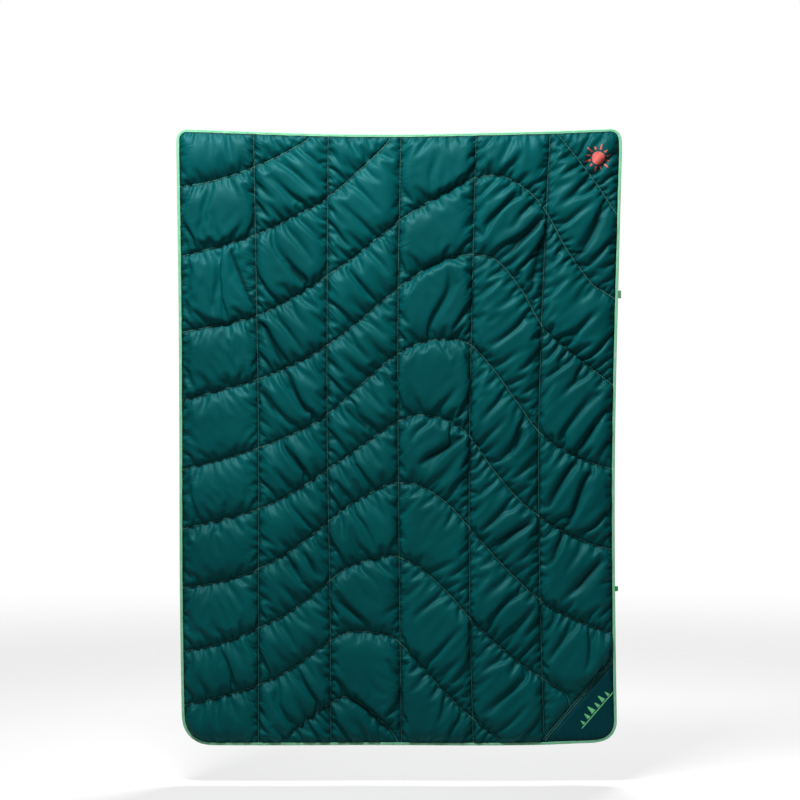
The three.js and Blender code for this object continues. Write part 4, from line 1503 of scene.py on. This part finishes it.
RING_STEP = 1.2  # between the rings of a short tape
LOOP_STEP = 1.5  # between the points of its outline
CORNER_RUN, CORNER_LEAST = 0.8, 0.55  # its cut ends are thinner, down to this share
TAPE_SWAY, SWAY_TURN = 0.12, 5  # of its free end, and radians of it from end to end
TAB_ROOT, TAB_THICK = 1.15, 1.05
LABEL_THICK = 0.4
ENDS_START, ENDS_STOP = 2.2, 0.3  # of a tab's tape ends, before its rolled root


def arc(radius, first, last, count, middle=0.0):
    turns = np.radians(np.linspace(first, last, count))
    return [(middle + radius * math.cos(a), radius * math.sin(a)) for a in turns]


def loop_outline(root, thick, reach):
    """A short tape folded on itself, seen from above, from its rolled root outwards."""
    half = thick / 2
    count = max(2, round(reach / LOOP_STEP))
    out = [(root + (reach - half - root) * k / count, -half) for k in range(1, count)]
    back_in = [(x, half) for x, _ in reversed(out)]
    return arc(root, 50, 310, 11) + out + arc(half, -90, 90, 7, reach - half) + back_in


def upright_tape(name, node, outline, look, axis=(0.0, 0.0), lean=0.0, sway=0.0, reach=1.0):
    """A tape as tall as its CAD node, shut at both ends, with this outline seen from above.
    The outline lies about an upright axis, turned about it by the lean."""
    height = node_corners(node)[:, 2]
    low, high = height.min(), height.max()
    levels = np.linspace(low, high, max(5, round((high - low) / RING_STEP)))[:, None]
    thin = np.clip(np.minimum(levels - low, high - levels) / CORNER_RUN, CORNER_LEAST, 1)
    x, y = np.array(outline).T
    wave = sway * np.sin(np.linspace(0, SWAY_TURN, len(levels)))[:, None]
    y = y * thin + wave * np.clip(x / reach, 0, 1)**2
    cos, sin = math.cos(lean), math.sin(lean)
    place = (axis[0] + x * cos - y * sin, axis[1] + x * sin + y * cos, levels)
    rings = np.stack(np.broadcast_arrays(*place), -1)
    count, n = rings.shape[:2]
    first = np.arange(n)
    last = first + (count - 1) * n
    low_cap = np.stack([np.full(n, count * n), np.roll(first, -1), first], 1)
    high_cap = np.stack([last, np.roll(last, -1), np.full(n, count * n + 1)], 1)
    points = np.vstack([rings.reshape(-1, 3), rings[0].mean(0), rings[-1].mean(0)])
    run = np.tile(run_along(rings[0, :, :2]), count)
    uv = np.stack([points[:, 2], np.r_[run, 0, 0]], 1)
    return make_piece(name, points, [ring_faces(count, n), np.vstack([low_cap, high_cap])], look, uv)


def side_tab(node, body, slot):
    """A loop of tape that swings, and its two layers where they come out of the binding."""
    across = node_corners(node)[:, 0]
    axis = (across.min() + TAB_ROOT, 0.0)
    reach = across.max() - axis[0]
    outline = loop_outline(TAB_ROOT, TAB_THICK, reach)
    tab = upright_tape(node + "_loop", node, outline, LOOKS[body], axis, 0.0, TAPE_SWAY, reach)
    settle_piece(tab, body, slot, node)
    near_roll = across.min() + 0.4 * TAB_ROOT
    outline = (arc(0.5 * TAB_THICK, 90, 270, 9, near_roll - ENDS_START)
               + arc(0.5 * TAB_THICK, -90, 90, 9, near_roll - ENDS_STOP))
    ends = upright_tape(node + "_ends", node, outline, LOOKS[body])
    settle_piece(ends, "blanket", slot)


side_tab("upper_side_tab", "upper_tab", "sage_tape")
side_tab("lower_side_tab", "lower_tab", "green_tape")

label_outline = loop_outline(LABEL_ROOT, LABEL_THICK, LABEL_REACH)
label = upright_tape("care_label_ribbon", "care_label", label_outline, LOOKS["label"],
                     LABEL_AXIS, LABEL_LEAN, TAPE_SWAY, LABEL_REACH)
settle_piece(label, "label", "label_satin", "care_label")


# ---- Room, light and camera ----

FLOOR = -1.40
CAMERA_AWAY = 5.0
CAMERA_SEES = 1.726  # metres across, at the blanket
CAMERA_AT = (0.002, -0.573)  # X and Z
SENSOR = 36
FLOOR_FADE, FLOOR_REACH = 1.2, 5.5
FLOOR_SHOWS = 0.45  # the rest of the light passes through it
AMBIENT = 0.03
FLOOR_MIDDLE, FLOOR_FIRST = 0.02, 0.3  # radii of the innermost rings of its mesh
FLOOR_RINGS, FLOOR_SIDES = 14, 48
KEY, FILL = 71, 3.5  # watts
LIGHT_AIM = (0, 0, -0.7)


def studio():
    """A pale floor that fades into the pale surroundings."""
    rings = np.r_[FLOOR_MIDDLE, np.linspace(FLOOR_FIRST, FLOOR_REACH, FLOOR_RINGS)]
    turns = np.arange(FLOOR_SIDES) * 2 * math.pi / FLOOR_SIDES
    points = [(r * math.cos(a) / MM, r * math.sin(a) / MM, FLOOR / MM) for r in rings for a in turns]
    faces = ring_faces(len(rings), FLOOR_SIDES)[:, ::-1]
    look = Look("floor_paper", 0.9)
    grain = look.noise(look.object_place(), 3.0)
    look.colour(look.mix(grain, (0.88, 0.88, 0.88, 1), (0.92, 0.92, 0.92, 1)))
    away = look.node("VectorMath", {0: look.object_place()}, operation="LENGTH").outputs["Value"]
    fade = look.node("MapRange", {"Value": away, "From Min": FLOOR_FADE, "From Max": FLOOR_REACH,
                                  "To Min": FLOOR_SHOWS, "To Max": 0.0}, interpolation_type="SMOOTHSTEP")
    look.links.new(fade.outputs[0], look.shader.inputs["Alpha"])
    make_piece("floor", np.array(points), [faces], look.material)


def surroundings():
    """White to look at, but only a dim grey light on the blanket."""
    world = bpy.data.worlds.new("studio")
    world.use_nodes = True
    tree = world.node_tree
    sky = tree.nodes["Background"]
    sky.inputs["Color"].default_value = (1, 1, 1, 1)
    seen = tree.nodes.new("ShaderNodeLightPath")
    strength = tree.nodes.new("ShaderNodeMapRange")
    strength.inputs["To Min"].default_value = AMBIENT
    strength.inputs["To Max"].default_value = 1.0
    tree.links.new(seen.outputs["Is Camera Ray"], strength.inputs["Value"])
    tree.links.new(strength.outputs[0], sky.inputs["Strength"])
    bpy.context.scene.world = world


def area_light(name, place, size, power):
    light = bpy.data.lights.new(name, "AREA")
    light.shape = "RECTANGLE"
    light.size, light.size_y = size
    light.energy = power
    lamp = bpy.data.objects.new(name, light)
    lamp.location = place
    lamp.rotation_euler = (Vector(LIGHT_AIM) - Vector(place)).to_track_quat("-Z", "Y").to_euler()
    bpy.context.scene.collection.objects.link(lamp)


def light_up():
    """The same soft light on the front and on the back."""
    for side in (-1, 1):
        area_light("key", (0.5 * side, 1.2 * side, 1.5), (0.9, 0.6), KEY)
        area_light("fill", (0.6 * side, 3.4 * side, 0.2), (1.2, 1.2), FILL)


def place_camera():
    """Straight in front of the blanket, a little above its middle."""
    data = bpy.data.cameras.new("camera")
    data.sensor_width = SENSOR
    data.lens = SENSOR * CAMERA_AWAY / CAMERA_SEES
    camera = bpy.data.objects.new("camera", data)
    camera.location = (CAMERA_AT[0], -CAMERA_AWAY, CAMERA_AT[1])
    camera.rotation_euler = (math.pi / 2, 0, 0)
    bpy.context.scene.collection.objects.link(camera)
    bpy.context.scene.camera = camera
    bpy.context.scene.view_settings.view_transform = "Standard"


studio()
surroundings()
light_up()
place_camera()
